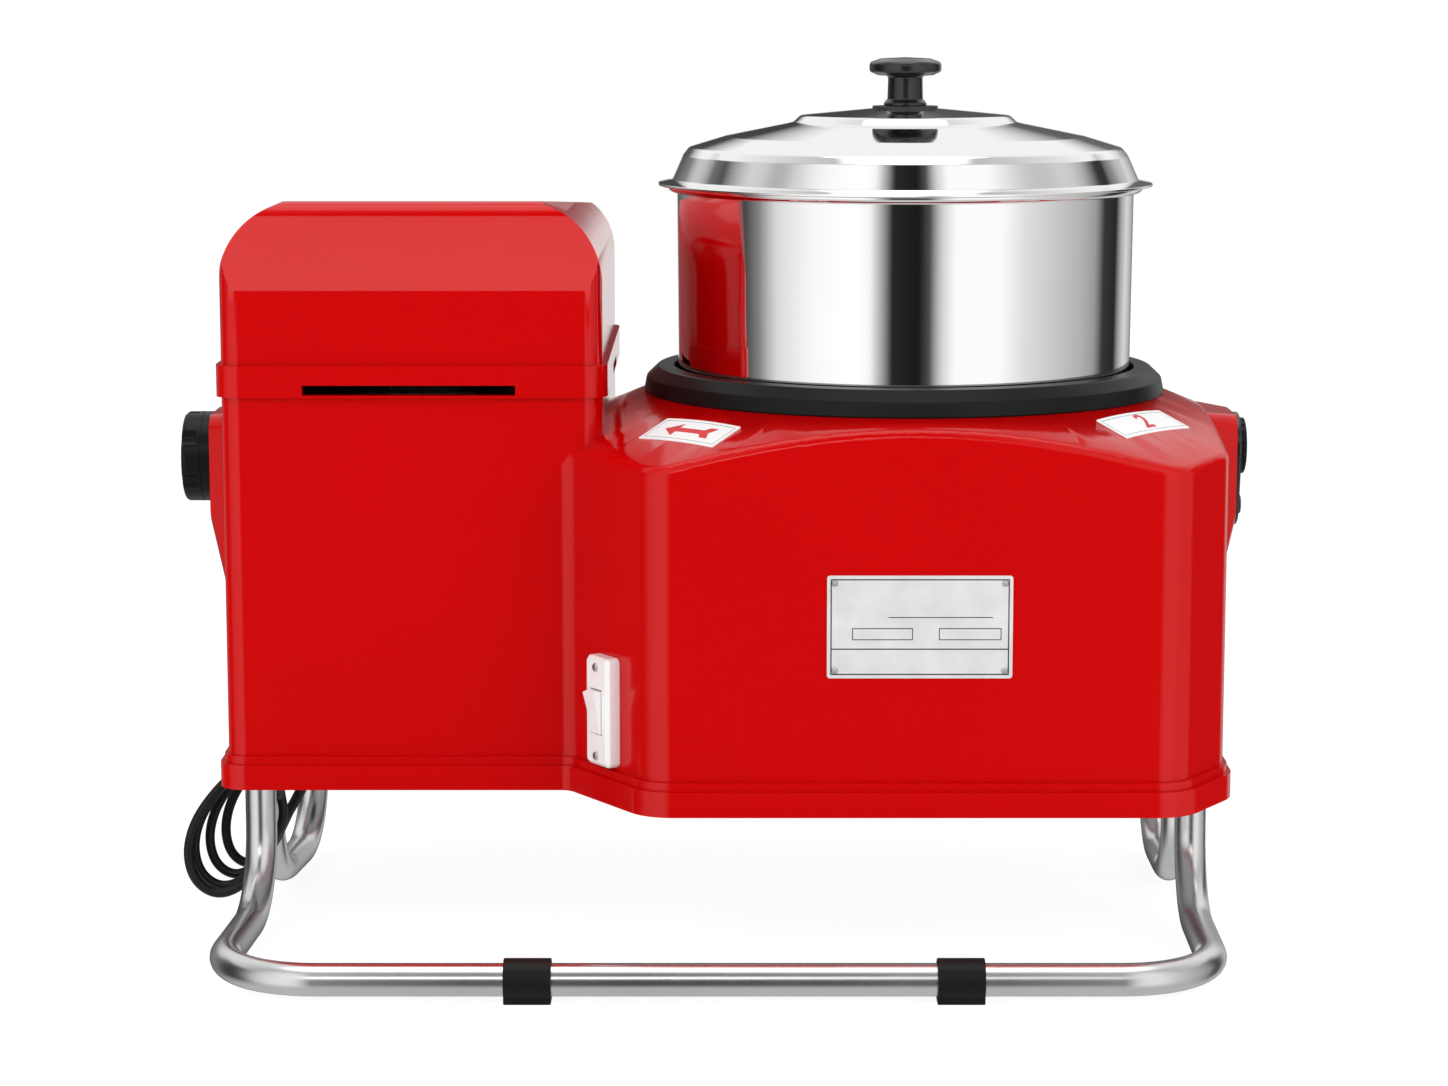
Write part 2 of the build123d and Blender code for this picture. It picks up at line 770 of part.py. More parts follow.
# Belt drive from the motor to the drum
def pulley(pitch_r, bore, hub_radius, at):
    """V-belt pulley with a webbed rim where there is room."""
    low, high = pulley_z - pulley_thick / 2, pulley_z + pulley_thick / 2
    rim_r = pitch_r + belt_above_pitch + belt_gap
    wheel = disc(rim_r, low, high)
    if pitch_r > pulley_rim_wall + hub_radius + wall:
        recess = ring(rim_r - pulley_rim_wall, hub_radius, low - overrun, pulley_z - pulley_web_thick / 2)
        wheel -= recess
        recess = ring(rim_r - pulley_rim_wall, hub_radius, pulley_z + pulley_web_thick / 2, high + overrun)
        wheel -= recess
        hole_r = (pitch_r - pulley_rim_wall - hub_radius) / 4
        for turn in range(pulley_holes):
            spot = Rot(0, 0, turn * 360 / pulley_holes) * Pos((pitch_r - pulley_rim_wall + hub_radius) / 2, 0)
            wheel -= Pos(0, 0, pulley_z) * spot * Cylinder(hole_r, pulley_thick)
    root_r = rim_r - groove_deep
    root_half = groove_half - groove_deep * tan(radians(belt_slope))
    wheel -= turned([
        (root_r, pulley_z - root_half),
        (rim_r, pulley_z - groove_half),
        (rim_r + overrun, pulley_z - groove_half),
        (rim_r + overrun, pulley_z + groove_half),
        (rim_r, pulley_z + groove_half),
        (root_r, pulley_z + root_half),
    ])
    wheel -= disc(bore, low - overrun, high + overrun)
    return Pos(at[0], at[1], 0) * wheel


def belt_loop():
    """Closed V-belt round both pulleys, standing a little clear of their grooves."""
    span = hypot(*motor_at)
    lean = (pulley_pitch_r - motor_pulley_pitch_r) / span
    up = sqrt(1 - lean * lean)
    big = [Vector(pulley_pitch_r * lean, s * pulley_pitch_r * up) for s in (1, -1)]
    small = [Vector(span + motor_pulley_pitch_r * lean, s * motor_pulley_pitch_r * up) for s in (1, -1)]
    route = Wire([
        Line(big[0], small[0]).edge(),
        ThreePointArc(small[0], (span + motor_pulley_pitch_r, 0), small[1]).edge(),
        Line(small[1], big[1]).edge(),
        ThreePointArc(big[1], (-pulley_pitch_r, 0), big[0]).edge(),
    ])
    top = belt_above_pitch
    foot = top - belt_thick
    top_half = groove_half - belt_gap * 2
    foot_half = top_half - belt_thick * tan(radians(belt_slope))
    along = small[0] - big[0]
    outward = Vector(-along.Y, along.X).normalized()
    start = Plane(origin=big[0], x_dir=outward, z_dir=along)
    profile = make_face(Polyline((top, -top_half), (top, top_half), (foot, foot_half),
                                 (foot, -foot_half), close=True))
    loop = sweep(start * profile, path=route, transition=Transition.RIGHT)
    return Pos(0, 0, pulley_z) * Rot(0, 0, degrees(atan2(motor_at[1], motor_at[0]))) * loop


put("drum_pulley", pulley(pulley_pitch_r, hub_r, hub_r + pulley_hub_wall, (0, 0)))
put("motor_pulley", pulley(motor_pulley_pitch_r, shaft_r, shaft_r + wall, motor_at))
put("v_belt", belt_loop())

# Motor carrier: a plate on four pillars over the belt
pillars = []
pillar_screws = []
motor_plate = Pos(motor_at[0], motor_at[1], motor_plate_z + motor_plate_thick / 2) * Box(
    2 * motor_plate_half, 2 * motor_plate_half, motor_plate_thick)
motor_plate = fillet(motor_plate.edges().filter_by(Axis.Z), box_corner_r)
motor_plate -= disc(motor_bearing_r, motor_plate_z - overrun, motor_plate_z + overrun, motor_at)
for x_side in (-1, 1):
    for y_side in (-1, 1):
        place = (motor_x + x_side * pillar_pitch_half, motor_back + y_side * pillar_pitch_half)
        pillars.append(disc(pillar_r, shelf_z, motor_plate_z, place))
        motor_plate -= disc(screw_r + seat_gap, motor_plate_z - overrun, motor_plate_z + overrun, place)
        top = motor_plate_z + motor_plate_thick
        pillar_screws.append(disc(screw_r, motor_plate_z, top, place)
                             + disc(screw_head_r, top, top + screw_head_tall, place))
put("motor_pillars", group(pillars))
put("case_screws", group(base_screws + cover_screws + pillar_screws))
put("motor_plate", motor_plate)

# Motor: laminated stack, copper windings, two end bells, rotor and tie bolts
bell_low_z = motor_plate_z + motor_plate_thick
stack_top_z = stack_z + stack_tall
stack = ring(motor_r, stack_bore_r, stack_z, stack_top_z, motor_at)
for fin in range(stack_fins):
    slot = Box(2 * stack_fin_deep, stack_fin_wide, 2 * stack_tall)
    notch = Pos(motor_r, 0, stack_z + stack_tall / 2) * slot
    stack -= Pos(motor_at[0], motor_at[1], 0) * Rot(0, 0, fin * 360 / stack_fins) * notch
tie_places = []
for turn in range(tie_bolt_count):
    angle = 2 * pi * (turn + 1 / 2) / tie_bolt_count
    reach = motor_r - stack_fin_deep - 2 * tie_bolt_r
    tie_places.append((motor_x + reach * cos(angle), motor_back + reach * sin(angle)))


def end_bell(low, winding_side):
    """Cast end cover with a bearing seat, hollow towards the windings."""
    bell = disc(end_bell_r, low, low + end_bell_tall, motor_at)
    hollow_low = low + wall if winding_side > 0 else low - overrun
    hollow_high = low + end_bell_tall + overrun if winding_side > 0 else low + end_bell_tall - wall
    bell -= ring(motor_r - 2 * stack_fin_deep - 4 * tie_bolt_r, motor_bearing_r + wall, hollow_low,
                 hollow_high, motor_at)
    bell -= disc(shaft_r + clear_gap, low - overrun, low + end_bell_tall + overrun, motor_at)
    seat_low = low + end_bell_tall - motor_bearing_thick if winding_side > 0 else low - overrun
    bell -= disc(motor_bearing_r, seat_low, seat_low + motor_bearing_thick + overrun, motor_at)
    return bell


lower_bell = end_bell(bell_low_z, 1)
upper_bell = end_bell(stack_top_z, -1)
tie_bolts = []
for place in tie_places:
    stack -= disc(tie_bolt_r + seat_gap, stack_z - overrun, stack_top_z + overrun, place)
    lower_bell -= disc(tie_bolt_r + seat_gap, bell_low_z - overrun, stack_z + overrun, place)
    upper_bell -= disc(tie_bolt_r + seat_gap, stack_top_z - overrun, stack_top_z + 2 * overrun, place)
    bolt_head_z = stack_top_z + end_bell_tall
    tie_bolts.append(disc(tie_bolt_r, bell_low_z, bolt_head_z, place)
                     + disc(screw_head_r, bolt_head_z, bolt_head_z + screw_head_tall, place))
put("motor_stack", stack)
put("motor_end_bells", group([lower_bell, upper_bell]))
put("motor_tie_bolts", group(tie_bolts))
winding_in = stack_bore_r + wall
winding_out = motor_r - 2 * stack_fin_deep - 4 * tie_bolt_r - clear_gap
put("motor_windings", group([
    ring(winding_out, winding_in, stack_z - winding_tall, stack_z, motor_at),
    ring(winding_out, winding_in, stack_top_z, stack_top_z + winding_tall, motor_at)]))
lower_ball_z = bell_low_z + end_bell_tall - motor_bearing_thick
motor_bearings = [
    ring(motor_bearing_r, shaft_r + run_fit, lower_ball_z, stack_z - seat_gap, motor_at),
    ring(motor_bearing_r, shaft_r + run_fit, stack_top_z + seat_gap, stack_top_z + motor_bearing_thick,
         motor_at)]
put("ball_bearings", group(hub_bearings + motor_bearings))
rotor = disc(shaft_r, shaft_foot_z, stack_top_z + end_bell_tall, motor_at)
rotor += disc(rotor_r, stack_z + wall, stack_top_z - wall, motor_at)
put("motor_rotor", rotor)

# Capacitor in its clip and the terminal block, on the base plate behind the hub
capacitor_z = shelf_z + capacitor_r + sheet
put("run_capacitor", bar_x(capacitor_r, capacitor_x - capacitor_long / 2, capacitor_x + capacitor_long / 2,
                           capacitor_back, capacitor_z))
strap_long = capacitor_long / 4
strap = bar_x(capacitor_r + sheet, capacitor_x - strap_long / 2, capacitor_x + strap_long / 2,
              capacitor_back, capacitor_z)
strap += block((capacitor_x - strap_long / 2, capacitor_back - capacitor_r - sheet, shelf_z),
               (capacitor_x + strap_long / 2, capacitor_back + capacitor_r + sheet, capacitor_z))
strap -= bar_x(capacitor_r + seat_gap, capacitor_x - capacitor_long, capacitor_x + capacitor_long,
               capacitor_back, capacitor_z)
put("capacitor_clip", strap)
terminal = block((terminal_x - terminal_long / 2, terminal_back - terminal_wide / 2, shelf_z),
                 (terminal_x + terminal_long / 2, terminal_back + terminal_wide / 2, shelf_z + terminal_tall))
for way in range(terminal_ways):
    way_x = terminal_x + (way - (terminal_ways - 1) / 2) * terminal_long / terminal_ways
    terminal -= disc(screw_r, shelf_z + terminal_tall / 2, shelf_z + terminal_tall + overrun,
                     (way_x, terminal_back))
put("terminal_block", terminal)

# Stones: a base stone in the drum and two rollers on the holder's pins
base_low_z = drum_floor_z + drum_wall
base_stone = ring(base_stone_r, base_stone_bore_r, base_low_z, stone_top_z)
base_stone = fillet(base_stone.edges().filter_by(GeomType.CIRCLE).sort_by(Axis.Z)[-2:], wall)
foot_edge = [e for e in base_stone.edges().filter_by(GeomType.CIRCLE)
             if e.radius > base_stone_r - hair and e.center().Z < base_low_z + hair]
base_stone = chamfer(foot_edge, drum_foot_r)
put("base_stone", base_stone)
for side, way in (("left", -1), ("right", 1)):
    inner, outer_end = way * roller_in, way * (roller_in + roller_long)
    stone = bar_x(roller_r, inner, outer_end, 0, roller_z)
    ends = stone.edges().filter_by(GeomType.CIRCLE)
    stone = chamfer(ends, roller_r - roller_end_r)
    stone -= bar_x(pin_r + run_fit, inner - way * overrun, outer_end + way * overrun, 0, roller_z)
    put(f"roller_stone_{side}", stone)
holder = Pos(0, 0, roller_z) * Box(2 * holder_half, 2 * holder_half, holder_tall)
holder = fillet(holder.edges().filter_by(Axis.Z), wall * 2)
holder -= disc(post_r + holder_bore_gap, roller_z - overrun - holder_tall, roller_z + overrun + holder_tall)
pins = []
for way in (-1, 1):
    start = way * (post_r + wall)
    end = way * (roller_in + roller_long + clear_gap)
    pin = bar_x(pin_r, start, end, 0, roller_z)
    pin += bar_x(pin_head_r, end, end + way * pin_head_thick, 0, roller_z)
    pin += bar_x(pin_head_r, way * holder_half, way * (roller_in - clear_gap), 0, roller_z)
    pins.append(pin)
    holder -= bar_x(pin_r, start, way * (holder_half + overrun), 0, roller_z)
put("roller_holder", holder)
put("roller_pins", group(pins))
nut_low_z = roller_z + holder_tall / 2
nut = disc(holder_nut_r, nut_low_z, nut_low_z + holder_nut_tall)
for lobe in range(holder_nut_lobes):
    wing = Pos(holder_nut_r, 0, nut_low_z + holder_nut_tall / 2) * Cylinder(holder_nut_r / 2, holder_nut_tall)
    nut += Rot(0, 0, lobe * 360 / holder_nut_lobes + 90) * wing
nut -= disc(post_r, nut_low_z - overrun, post_top_z)
put("holder_nut", nut)

# Wiper: a plastic blade held near the drum's wall by an arm from the holder
blade_low_z = stone_top_z + wall
blade_r = drum_radius(blade_low_z) - drum_wall - wiper_gap
sweep_back = blade_r - wiper_thick
blade = ring(blade_r, sweep_back, blade_low_z, blade_low_z + wiper_tall) & block(
    (-wiper_wide / 2, 0, 0), (wiper_wide / 2, 2 * blade_r, 2 * drum_rim_z))
arm = block((-wiper_arm_thick / 2, holder_half, roller_z - wiper_arm_thick / 2),
            (wiper_arm_thick / 2, sweep_back + clear_gap, roller_z + wiper_arm_thick / 2))
brace = block((-wiper_wide / 2, holder_half, roller_z - holder_tall / 2),
              (wiper_wide / 2, holder_half + wall, roller_z + holder_tall / 2))
put("wiper_blade", blade + arm + brace)


# Lid of pressed sheet with a washer, a mushroom knob and its screw
def lid_outline(sink):
    """Upper line of the lid from its rim inwards."""
    return [
        (lid_rim_r, lid_z - sink + lid_sheet),
        (lid_band_r, lid_z + lid_band_rise - sink + lid_sheet),
        (lid_shoulder_r, lid_z + lid_shoulder_rise - sink),
        (lid_slope_r, lid_z + lid_slope_rise - sink),
        (lid_step_r, lid_z + lid_step_rise - sink),
        (lid_crown_r, lid_z + lid_crown_rise - sink),
        (knob_washer_r, lid_z + lid_top_rise - sink),
    ]


crown_z = lid_z + lid_top_rise
upper_line = lid_outline(0)
lower_line = lid_outline(lid_sheet * lid_draw)
lid = turned(upper_line + [(0, crown_z), (0, crown_z - lid_sheet * lid_draw)] + lower_line[::-1])
shoulder = [e for e in lid.edges().filter_by(GeomType.CIRCLE) if abs(e.radius - lid_shoulder_r) < hair]
lid = fillet(shoulder, lid_sheet * lid_draw)
locate_r = drum_top_r - drum_wall - wall
locate_top_z = lid_z + lid_shoulder_rise - lid_sheet * lid_draw * 3 / 4
lid += ring(locate_r, locate_r - lid_sheet, lid_z - lid_skirt_deep, locate_top_z)
knob_screw_bore = disc(knob_screw_r + seat_gap, crown_z - overrun, crown_z + overrun)
put("lid", lid - knob_screw_bore)
knob_washer = ring(knob_washer_r, knob_screw_r + seat_gap, crown_z, crown_z + knob_washer_thick)
knob_low_z = crown_z + knob_washer_thick
knob_top_z = knob_low_z + knob_tall
disc_low_z = knob_top_z - knob_disc_thick
knob = turned([
    (0, knob_low_z),
    (knob_foot_r, knob_low_z),
    (knob_foot_r, knob_low_z + wall / 2),
    (knob_stem_r, knob_low_z + 2 * wall),
    (knob_stem_r, disc_low_z - wall / 2),
    (knob_stem_r + wall, disc_low_z + wall / 2),
    (knob_disc_r, disc_low_z + wall),
    (knob_disc_r, knob_top_z - 2 * wall),
    (knob_disc_r - 2 * wall, knob_top_z - wall / 2),
    (0, knob_top_z),
])
rim_edges = [e for e in knob.edges().filter_by(GeomType.CIRCLE) if e.radius > knob_disc_r - wall]
knob = fillet(rim_edges, wall / 2)
knob -= disc(knob_screw_r, knob_low_z - overrun, knob_low_z + knob_tall / 2)
put("lid_knob", knob)
under_z = crown_z - lid_sheet * lid_draw
knob_screw = disc(knob_screw_r, under_z, knob_low_z + knob_tall / 2)
knob_screw += disc(2 * knob_screw_r, under_z - screw_head_tall, under_z)
put("knob_fixings", group([knob_washer, knob_screw]))


# Side drive port: a mitre pair, a shaft in a long sleeve and a screw-on cap
def mitre_gear():
    """Straight mitre gear with its pitch apex at the origin and its teeth facing up the axis."""
    back = -gear_pitch_r
    front = back + gear_face * sin(radians(45))
    tip_out = gear_pitch_r + gear_tall * cos(radians(45))
    root_out = gear_pitch_r - gear_deep * cos(radians(45))
    blank = turned([
        (0, back - gear_hub_tall),
        (gear_pitch_r / 2 + wall, back - gear_hub_tall),
        (gear_pitch_r / 2 + wall, back - wall),
        (root_out, back - wall),
        (gear_pitch_r, back - gear_deep * cos(radians(45))),
        (tip_out, back + gear_tall * cos(radians(45)) - gear_tall * cos(radians(45))),
        (tip_out * front / back, front),
        (0, front),
    ])
    pitch = 2 * pi * gear_pitch_r / gear_teeth
    space_half = (pitch / 2 + gear_backlash) / 2
    long = hypot(gear_pitch_r, gear_pitch_r)

    def notch_face(distance):
        scale = distance / long
        at = Plane(origin=(gear_pitch_r * scale, 0, -gear_pitch_r * scale), x_dir=(0, 1, 0),
                   z_dir=(1, 0, -1))
        up = 1 if at.y_dir.Z > 0 else -1
        half_top = (space_half + gear_tall * tan(radians(20)) * 2) * scale
        half_foot = (space_half - gear_deep * tan(radians(20))) * scale
        return at * make_face(Polyline(
            (-half_foot, -up * gear_deep * scale), (half_foot, -up * gear_deep * scale),
            (half_top, up * 2 * gear_tall * scale), (-half_top, up * 2 * gear_tall * scale),
            close=True))

    notch = loft([notch_face(long + gear_face / 2), notch_face(long - 2 * gear_face)], ruled=True)
    for tooth in range(gear_teeth):
        blank -= Rot(0, 0, tooth * 360 / gear_teeth) * notch
    return blank


gear = mitre_gear()
apex = (motor_x, motor_back, port_z)
motor_gear = Pos(*apex) * gear - disc(shaft_r, port_z - 2 * overrun, port_z + overrun, motor_at)
put("motor_mitre_gear", motor_gear)
half_tooth = 180 / gear_teeth
port_gear = Pos(*apex) * Rot(0, 90, 0) * Rot(0, 0, half_tooth) * gear
port_gear -= bar_x(shaft_r, motor_x - 2 * overrun, motor_x + overrun, motor_back, port_z)
put("port_mitre_gear", port_gear)
gear_back_x = motor_x - gear_pitch_r - gear_hub_tall
port_outer_x = left_face_x - port_end_out
port_shaft = bar_x(shaft_r, port_outer_x, gear_back_x + gear_hub_tall, motor_back, port_z)
square = Pos(left_face_x - port_end_out / 2, motor_back, port_z) * Box(port_end_out, port_square, port_square)
port_shaft = port_shaft - (bar_x(shaft_r + wall, port_outer_x - overrun, left_face_x, motor_back, port_z)
                           - square)
put("port_shaft", port_shaft)
sleeve = bar_x(port_sleeve_r, left_face_x, -port_sleeve_end, motor_back, port_z)
sleeve += bar_x(port_sleeve_r + 2 * wall, -box_reach + wall, -box_reach + 2 * wall, motor_back, port_z)
sleeve -= bar_x(shaft_r + run_fit, left_face_x - overrun, -port_sleeve_end + overrun, motor_back, port_z)
put("port_sleeve", sleeve)
cap_out_x = left_face_x - port_cap_thick
cap = bar_x(port_cap_r, cap_out_x, left_face_x, motor_back, port_z)
cap = fillet(cap.edges().filter_by(GeomType.CIRCLE).sort_by(Axis.X)[0], wall)
cap -= bar_x(port_cap_pocket_r, left_face_x - port_cap_pocket_deep, left_face_x + overrun, motor_back, port_z)
groove_x = left_face_x - port_cap_thick / 3
groove = bar_x(port_cap_r + overrun, groove_x - seat_gap * 5, groove_x + seat_gap * 5, motor_back, port_z)
cap -= groove - bar_x(port_cap_r - seat_gap * 5, groove_x - overrun, groove_x + overrun, motor_back, port_z)
for dent in range(cap_dents):
    turn = Pos(0, motor_back, port_z) * Rot(dent * 360 / cap_dents, 0, 0) * Pos(0, -motor_back, -port_z)
    cap -= turn * bar_x(cap_dent_r, cap_out_x - overrun, groove_x - wall, motor_back,
                        port_z + port_cap_r + cap_dent_r / 2)
put("port_cap", cap)

# Control plate on the right with its knob, control and reset
plate_at = Plane(origin=(right_face_x, motor_back, plate_z), x_dir=(0, 1, 0), z_dir=(1, 0, 0))


def pear(grow, drop):
    """Pear-shaped outline of the control plate."""
    lean = asin((plate_r - plate_low_r) / drop)
    head, tail = plate_r + grow, plate_low_r + grow
    points = [(head * cos(lean), -head * sin(lean)), (tail * cos(lean), -drop - tail * sin(lean))]
    middle = make_face(Polyline(points[0], points[1], (-points[1][0], points[1][1]),
                                (-points[0][0], points[0][1]), close=True))
    return middle + Circle(head) + Pos(0, -drop) * Circle(tail)


control_plate = extrude(plate_at * pear(0, plate_drop), control_plate_thick, dir=(1, 0, 0))
top_edges = control_plate.edges().group_by(Axis.X)[-1]
control_plate = fillet(top_edges, wall / 2)
plate_out_x = right_face_x + control_plate_thick
knob_seat_x = plate_out_x - control_plate_thick / 2
control_plate -= bar_x(control_knob_r + clear_gap, knob_seat_x, plate_out_x + overrun, motor_back, plate_z)
control_plate -= bar_x(control_shaft_r + seat_gap, right_face_x - overrun, plate_out_x, motor_back, plate_z)
reset_seat_x = plate_out_x - reset_travel - clear_gap
control_plate -= bar_x(reset_r + clear_gap, reset_seat_x, plate_out_x + overrun, motor_back, reset_z)
control_plate -= bar_x(reset_stem_r + seat_gap, right_face_x - overrun, plate_out_x, motor_back, reset_z)
put("control_plate", control_plate)
knob_face_x = plate_out_x + control_knob_proud
dial = bar_x(control_knob_r, knob_seat_x + clear_gap, knob_face_x, motor_back, plate_z)
dial = fillet(dial.edges().filter_by(GeomType.CIRCLE).sort_by(Axis.X)[-1], wall / 3)
for rib in range(dial_notches):
    turn = Pos(0, motor_back, plate_z) * Rot(rib * 360 / dial_notches, 0, 0) * Pos(0, -motor_back, -plate_z)
    dial -= turn * bar_x(dial_notch_r, plate_out_x + wall / 4, knob_face_x + overrun, motor_back,
                         plate_z + control_knob_r + dial_notch_r / 2)
inner_wall_x = right_face_x - wall
dial += bar_x(control_shaft_r, inner_wall_x - control_deep / 2, knob_seat_x + 2 * clear_gap, motor_back,
              plate_z)
put("control_knob", dial)
control_body = block(
    (inner_wall_x - clear_gap - control_deep, motor_back - control_wide / 2, plate_z - control_tall / 2),
    (inner_wall_x - clear_gap / 3, motor_back + control_wide / 2, plate_z + control_tall / 2))
control_body -= bar_x(control_shaft_r + run_fit, inner_wall_x - control_deep / 2 - clear_gap,
                      inner_wall_x + overrun, motor_back, plate_z)
reset_face_x = plate_out_x + reset_proud
reset = bar_x(reset_r, reset_seat_x + reset_travel + clear_gap / 3, reset_face_x, motor_back, reset_z)
reset += bar_x(reset_stem_r, inner_wall_x - breaker_deep / 4, reset_face_x - reset_proud / 2, motor_back,
               reset_z)
put("reset_button", reset)
breaker = block(
    (inner_wall_x - clear_gap - breaker_deep, motor_back - breaker_wide / 2, reset_z - breaker_tall / 2),
    (inner_wall_x - clear_gap / 3, motor_back + breaker_wide / 2, reset_z + breaker_tall / 2))
breaker -= bar_x(reset_stem_r + run_fit, inner_wall_x - breaker_deep / 4 - reset_travel - clear_gap,
                 inner_wall_x + overrun, motor_back, reset_z)
put("control_bodies", group([control_body, breaker]))

# Rocker switch on its plate
switch_plate = Pos(0, 0, switch_thick / 2) * Box(switch_wide, switch_tall, switch_thick)
switch_plate = chamfer(switch_plate.edges().filter_by(Axis.Z), switch_chamfer)
switch_plate = chamfer(switch_plate.faces().sort_by(Axis.Z)[-1].edges(), switch_chamfer)
switch_plate -= Pos(0, 0, switch_thick / 2) * Box(switch_window_wide, switch_window_tall, 2 * switch_thick)
switch_screws = []
for way in (-1, 1):
    screw_at = Pos(0, way * switch_screw_pitch / 2)
    switch_plate -= screw_at * Cylinder(plate_screw_r + seat_gap, 4 * switch_thick)
    screw = Pos(0, 0, switch_thick + plate_screw_head_tall / 2) * Cylinder(plate_screw_head_r,
                                                                           plate_screw_head_tall)
    screw += Pos(0, 0, switch_thick / 2) * Cylinder(plate_screw_r, switch_thick)
    switch_screws.append(switch_at * screw_at * screw)
put("switch_plate", switch_at * switch_plate)
put("switch_screws", group(switch_screws))
body_mid = -switch_body_deep / 2 - seat_gap
switch_body = Pos(0, 0, body_mid) * Box(switch_body_wide, switch_body_tall, switch_body_deep)
well_deep = rocker_deep + wall
switch_body -= Pos(0, 0, body_mid + switch_body_deep / 2) * Box(switch_window_wide, switch_window_tall,
                                                                2 * well_deep)
put("switch_body", switch_at * switch_body)
half_long = rocker_long / 2
side_view = Plane.YZ * make_face(Polyline(
    (-half_long, rocker_ear),
    (0, rocker_dip),
    (half_long, rocker_ear),
    (half_long, 0),
    (rocker_wide / 2, -rocker_deep),
    (-rocker_wide / 2, -rocker_deep),
    (-half_long, 0),
    close=True))
rocker = Pos(-rocker_wide / 2, 0, 0) * extrude(side_view, rocker_wide, dir=(1, 0, 0))
crowns = rocker.edges().filter_by(Axis.X).sort_by(Axis.Z)[-2:]
rocker = fillet(crowns, rocker_dip)
put("switch_rocker", switch_at * Pos(0, 0, switch_thick) * Rot(rocker_lean, 0, 0) * rocker)

# Name plate with four rivets, and two labels that follow the coned roof
name_face_y = -case_ahead
name_plate = Pos(name_off, name_face_y - name_thick / 2, name_z) * Box(name_wide, name_thick, name_tall)
name_plate = fillet(name_plate.edges().filter_by(Axis.Y), name_rivet_r)
rivets = []
for x_way in (-1, 1):
    for z_way in (-1, 1):
        x = name_off + x_way * (name_wide / 2 - name_rivet_in)
        z = name_z + z_way * (name_tall / 2 - name_rivet_in)
        name_plate -= bar_y(name_rivet_r / 2, name_face_y - overrun, name_face_y + overrun, x, z)
        rivets.append(bar_y(name_rivet_r, name_face_y - 2 * name_thick, name_face_y - name_thick, x, z)
                      + bar_y(name_rivet_r / 2, name_face_y - name_thick, name_face_y, x, z))
put("name_plate", name_plate)
put("name_plate_rivets", group(rivets))
labels = []
for angle, reach, long, wide in (
        (arrow_label_angle, arrow_label_r, arrow_label_long, arrow_label_wide),
        (mark_label_angle, mark_label_r, mark_label_long, mark_label_wide)):
    outline = Rot(0, 0, angle) * Pos(reach, 0) * RectangleRounded(wide, long, label_thick * 2)
    column = rise(outline, shelf_z, joint_z)
    labels.append((column & above_roof(0)) - above_roof(-label_thick))
put("roof_labels", group(labels))

# Mains lead: gland, four tied loops, tail, clip and plug. The cord's points are in the object's
# frame and chosen by hand. Each loop is one row: the first y, then x and z of its five knots.
gland = ring(gland_r, cord_r, floor_plate_z - gland_under, shelf_z, gland_at)
gland += ring(gland_flange_r, cord_r, shelf_z, shelf_z + gland_flange_thick, gland_at)
put("cord_gland", gland)
cord_start = (gland_object_x, gland_object_y, floor_plate_z - gland_under)
loop_rows = [
    (-14.0, (-275, 62), (-306, 15), (-325, 40), (-287, 90), (-268, 102.5), (-254, 89)),
    (-2.0, (-273, 60), (-304, 18), (-322, 43), (-286, 90), (-268, 102.5), (-254, 89)),
    (6.0, (-274, 62), (-298, 24), (-315, 48), (-287, 91), (-268, 102.5), (-254, 89)),
    (14.0, (-275, 64), (-293, 28), (-307, 52), (-286, 91), (-268, 102.5), None),
]
loop_last_y = 22.0
knot_turns = [(-0.15, -1), (-1, 0.1), (0.05, 1), (0.6, 1), (1, 0), (-0.1, -1)]
knot_shares = [0.15, 0.4, 0.58, 0.85, 0.95, 1.0]


def loop_knots():
    """Points and directions of the tied loops, from the gland to the last top."""
    knots = [(Vector(*cord_start), Vector(0, 0, -1))]
    starts = [row[0] for row in loop_rows] + [loop_last_y]
    for number, row in enumerate(loop_rows):
        for place, turn, share in zip(row[1:], knot_turns, knot_shares):
            if place is None:
                continue
            y = starts[number] + (starts[number + 1] - starts[number]) * share
            knots.append((Vector(place[0], y, place[1]), Vector(turn[0], 0, turn[1]).normalized()))
    return knots


def biarc(start, start_turn, end, end_turn):
    """Two tangent arcs between two points with given directions."""
    across = end - start
    both = start_turn + end_turn
    a = 2 * (1 - start_turn.dot(end_turn))
    b = 2 * across.dot(both)
    c = -across.dot(across)
    reach = -c / b if abs(a) < 1e-9 else (-b + sqrt(b * b - 4 * a * c)) / (2 * a)
    middle = (start + start_turn * reach + end - end_turn * reach) * 0.5
    first = Edge.make_tangent_arc(start, start_turn, middle)
    second = Edge.make_tangent_arc(middle, first % 1, end)
    return [first, second]


knots = loop_knots()
arcs = []
for (start, start_turn), (end, end_turn) in zip(knots, knots[1:]):
    arcs += biarc(start, start_turn, end, end_turn)
hank_route = Wire(arcs)
hank_start = Plane(origin=hank_route @ 0, z_dir=hank_route % 0)
hank = sweep(hank_start * Circle(cord_r), path=hank_route)
put_cord("cord_hank", hank)
samples = 360
dots = [hank_route @ (n / samples) for n in range(samples + 1)]
apart = 6 * cord_r
step_long = hank_route.length / samples
least = min((dots[i] - dots[j]).length for i in range(samples) for j in range(i + 1, samples + 1)
            if (j - i) * step_long > apart)
radii = [edge.radius for edge in arcs]
print("hank length", round(hank_route.length, 1), "least gap", round(least - 2 * cord_r, 2),
      "least radius", round(min(radii), 1))
print("hank volume over section times length", hank.volume / (pi * cord_r ** 2 * hank_route.length))

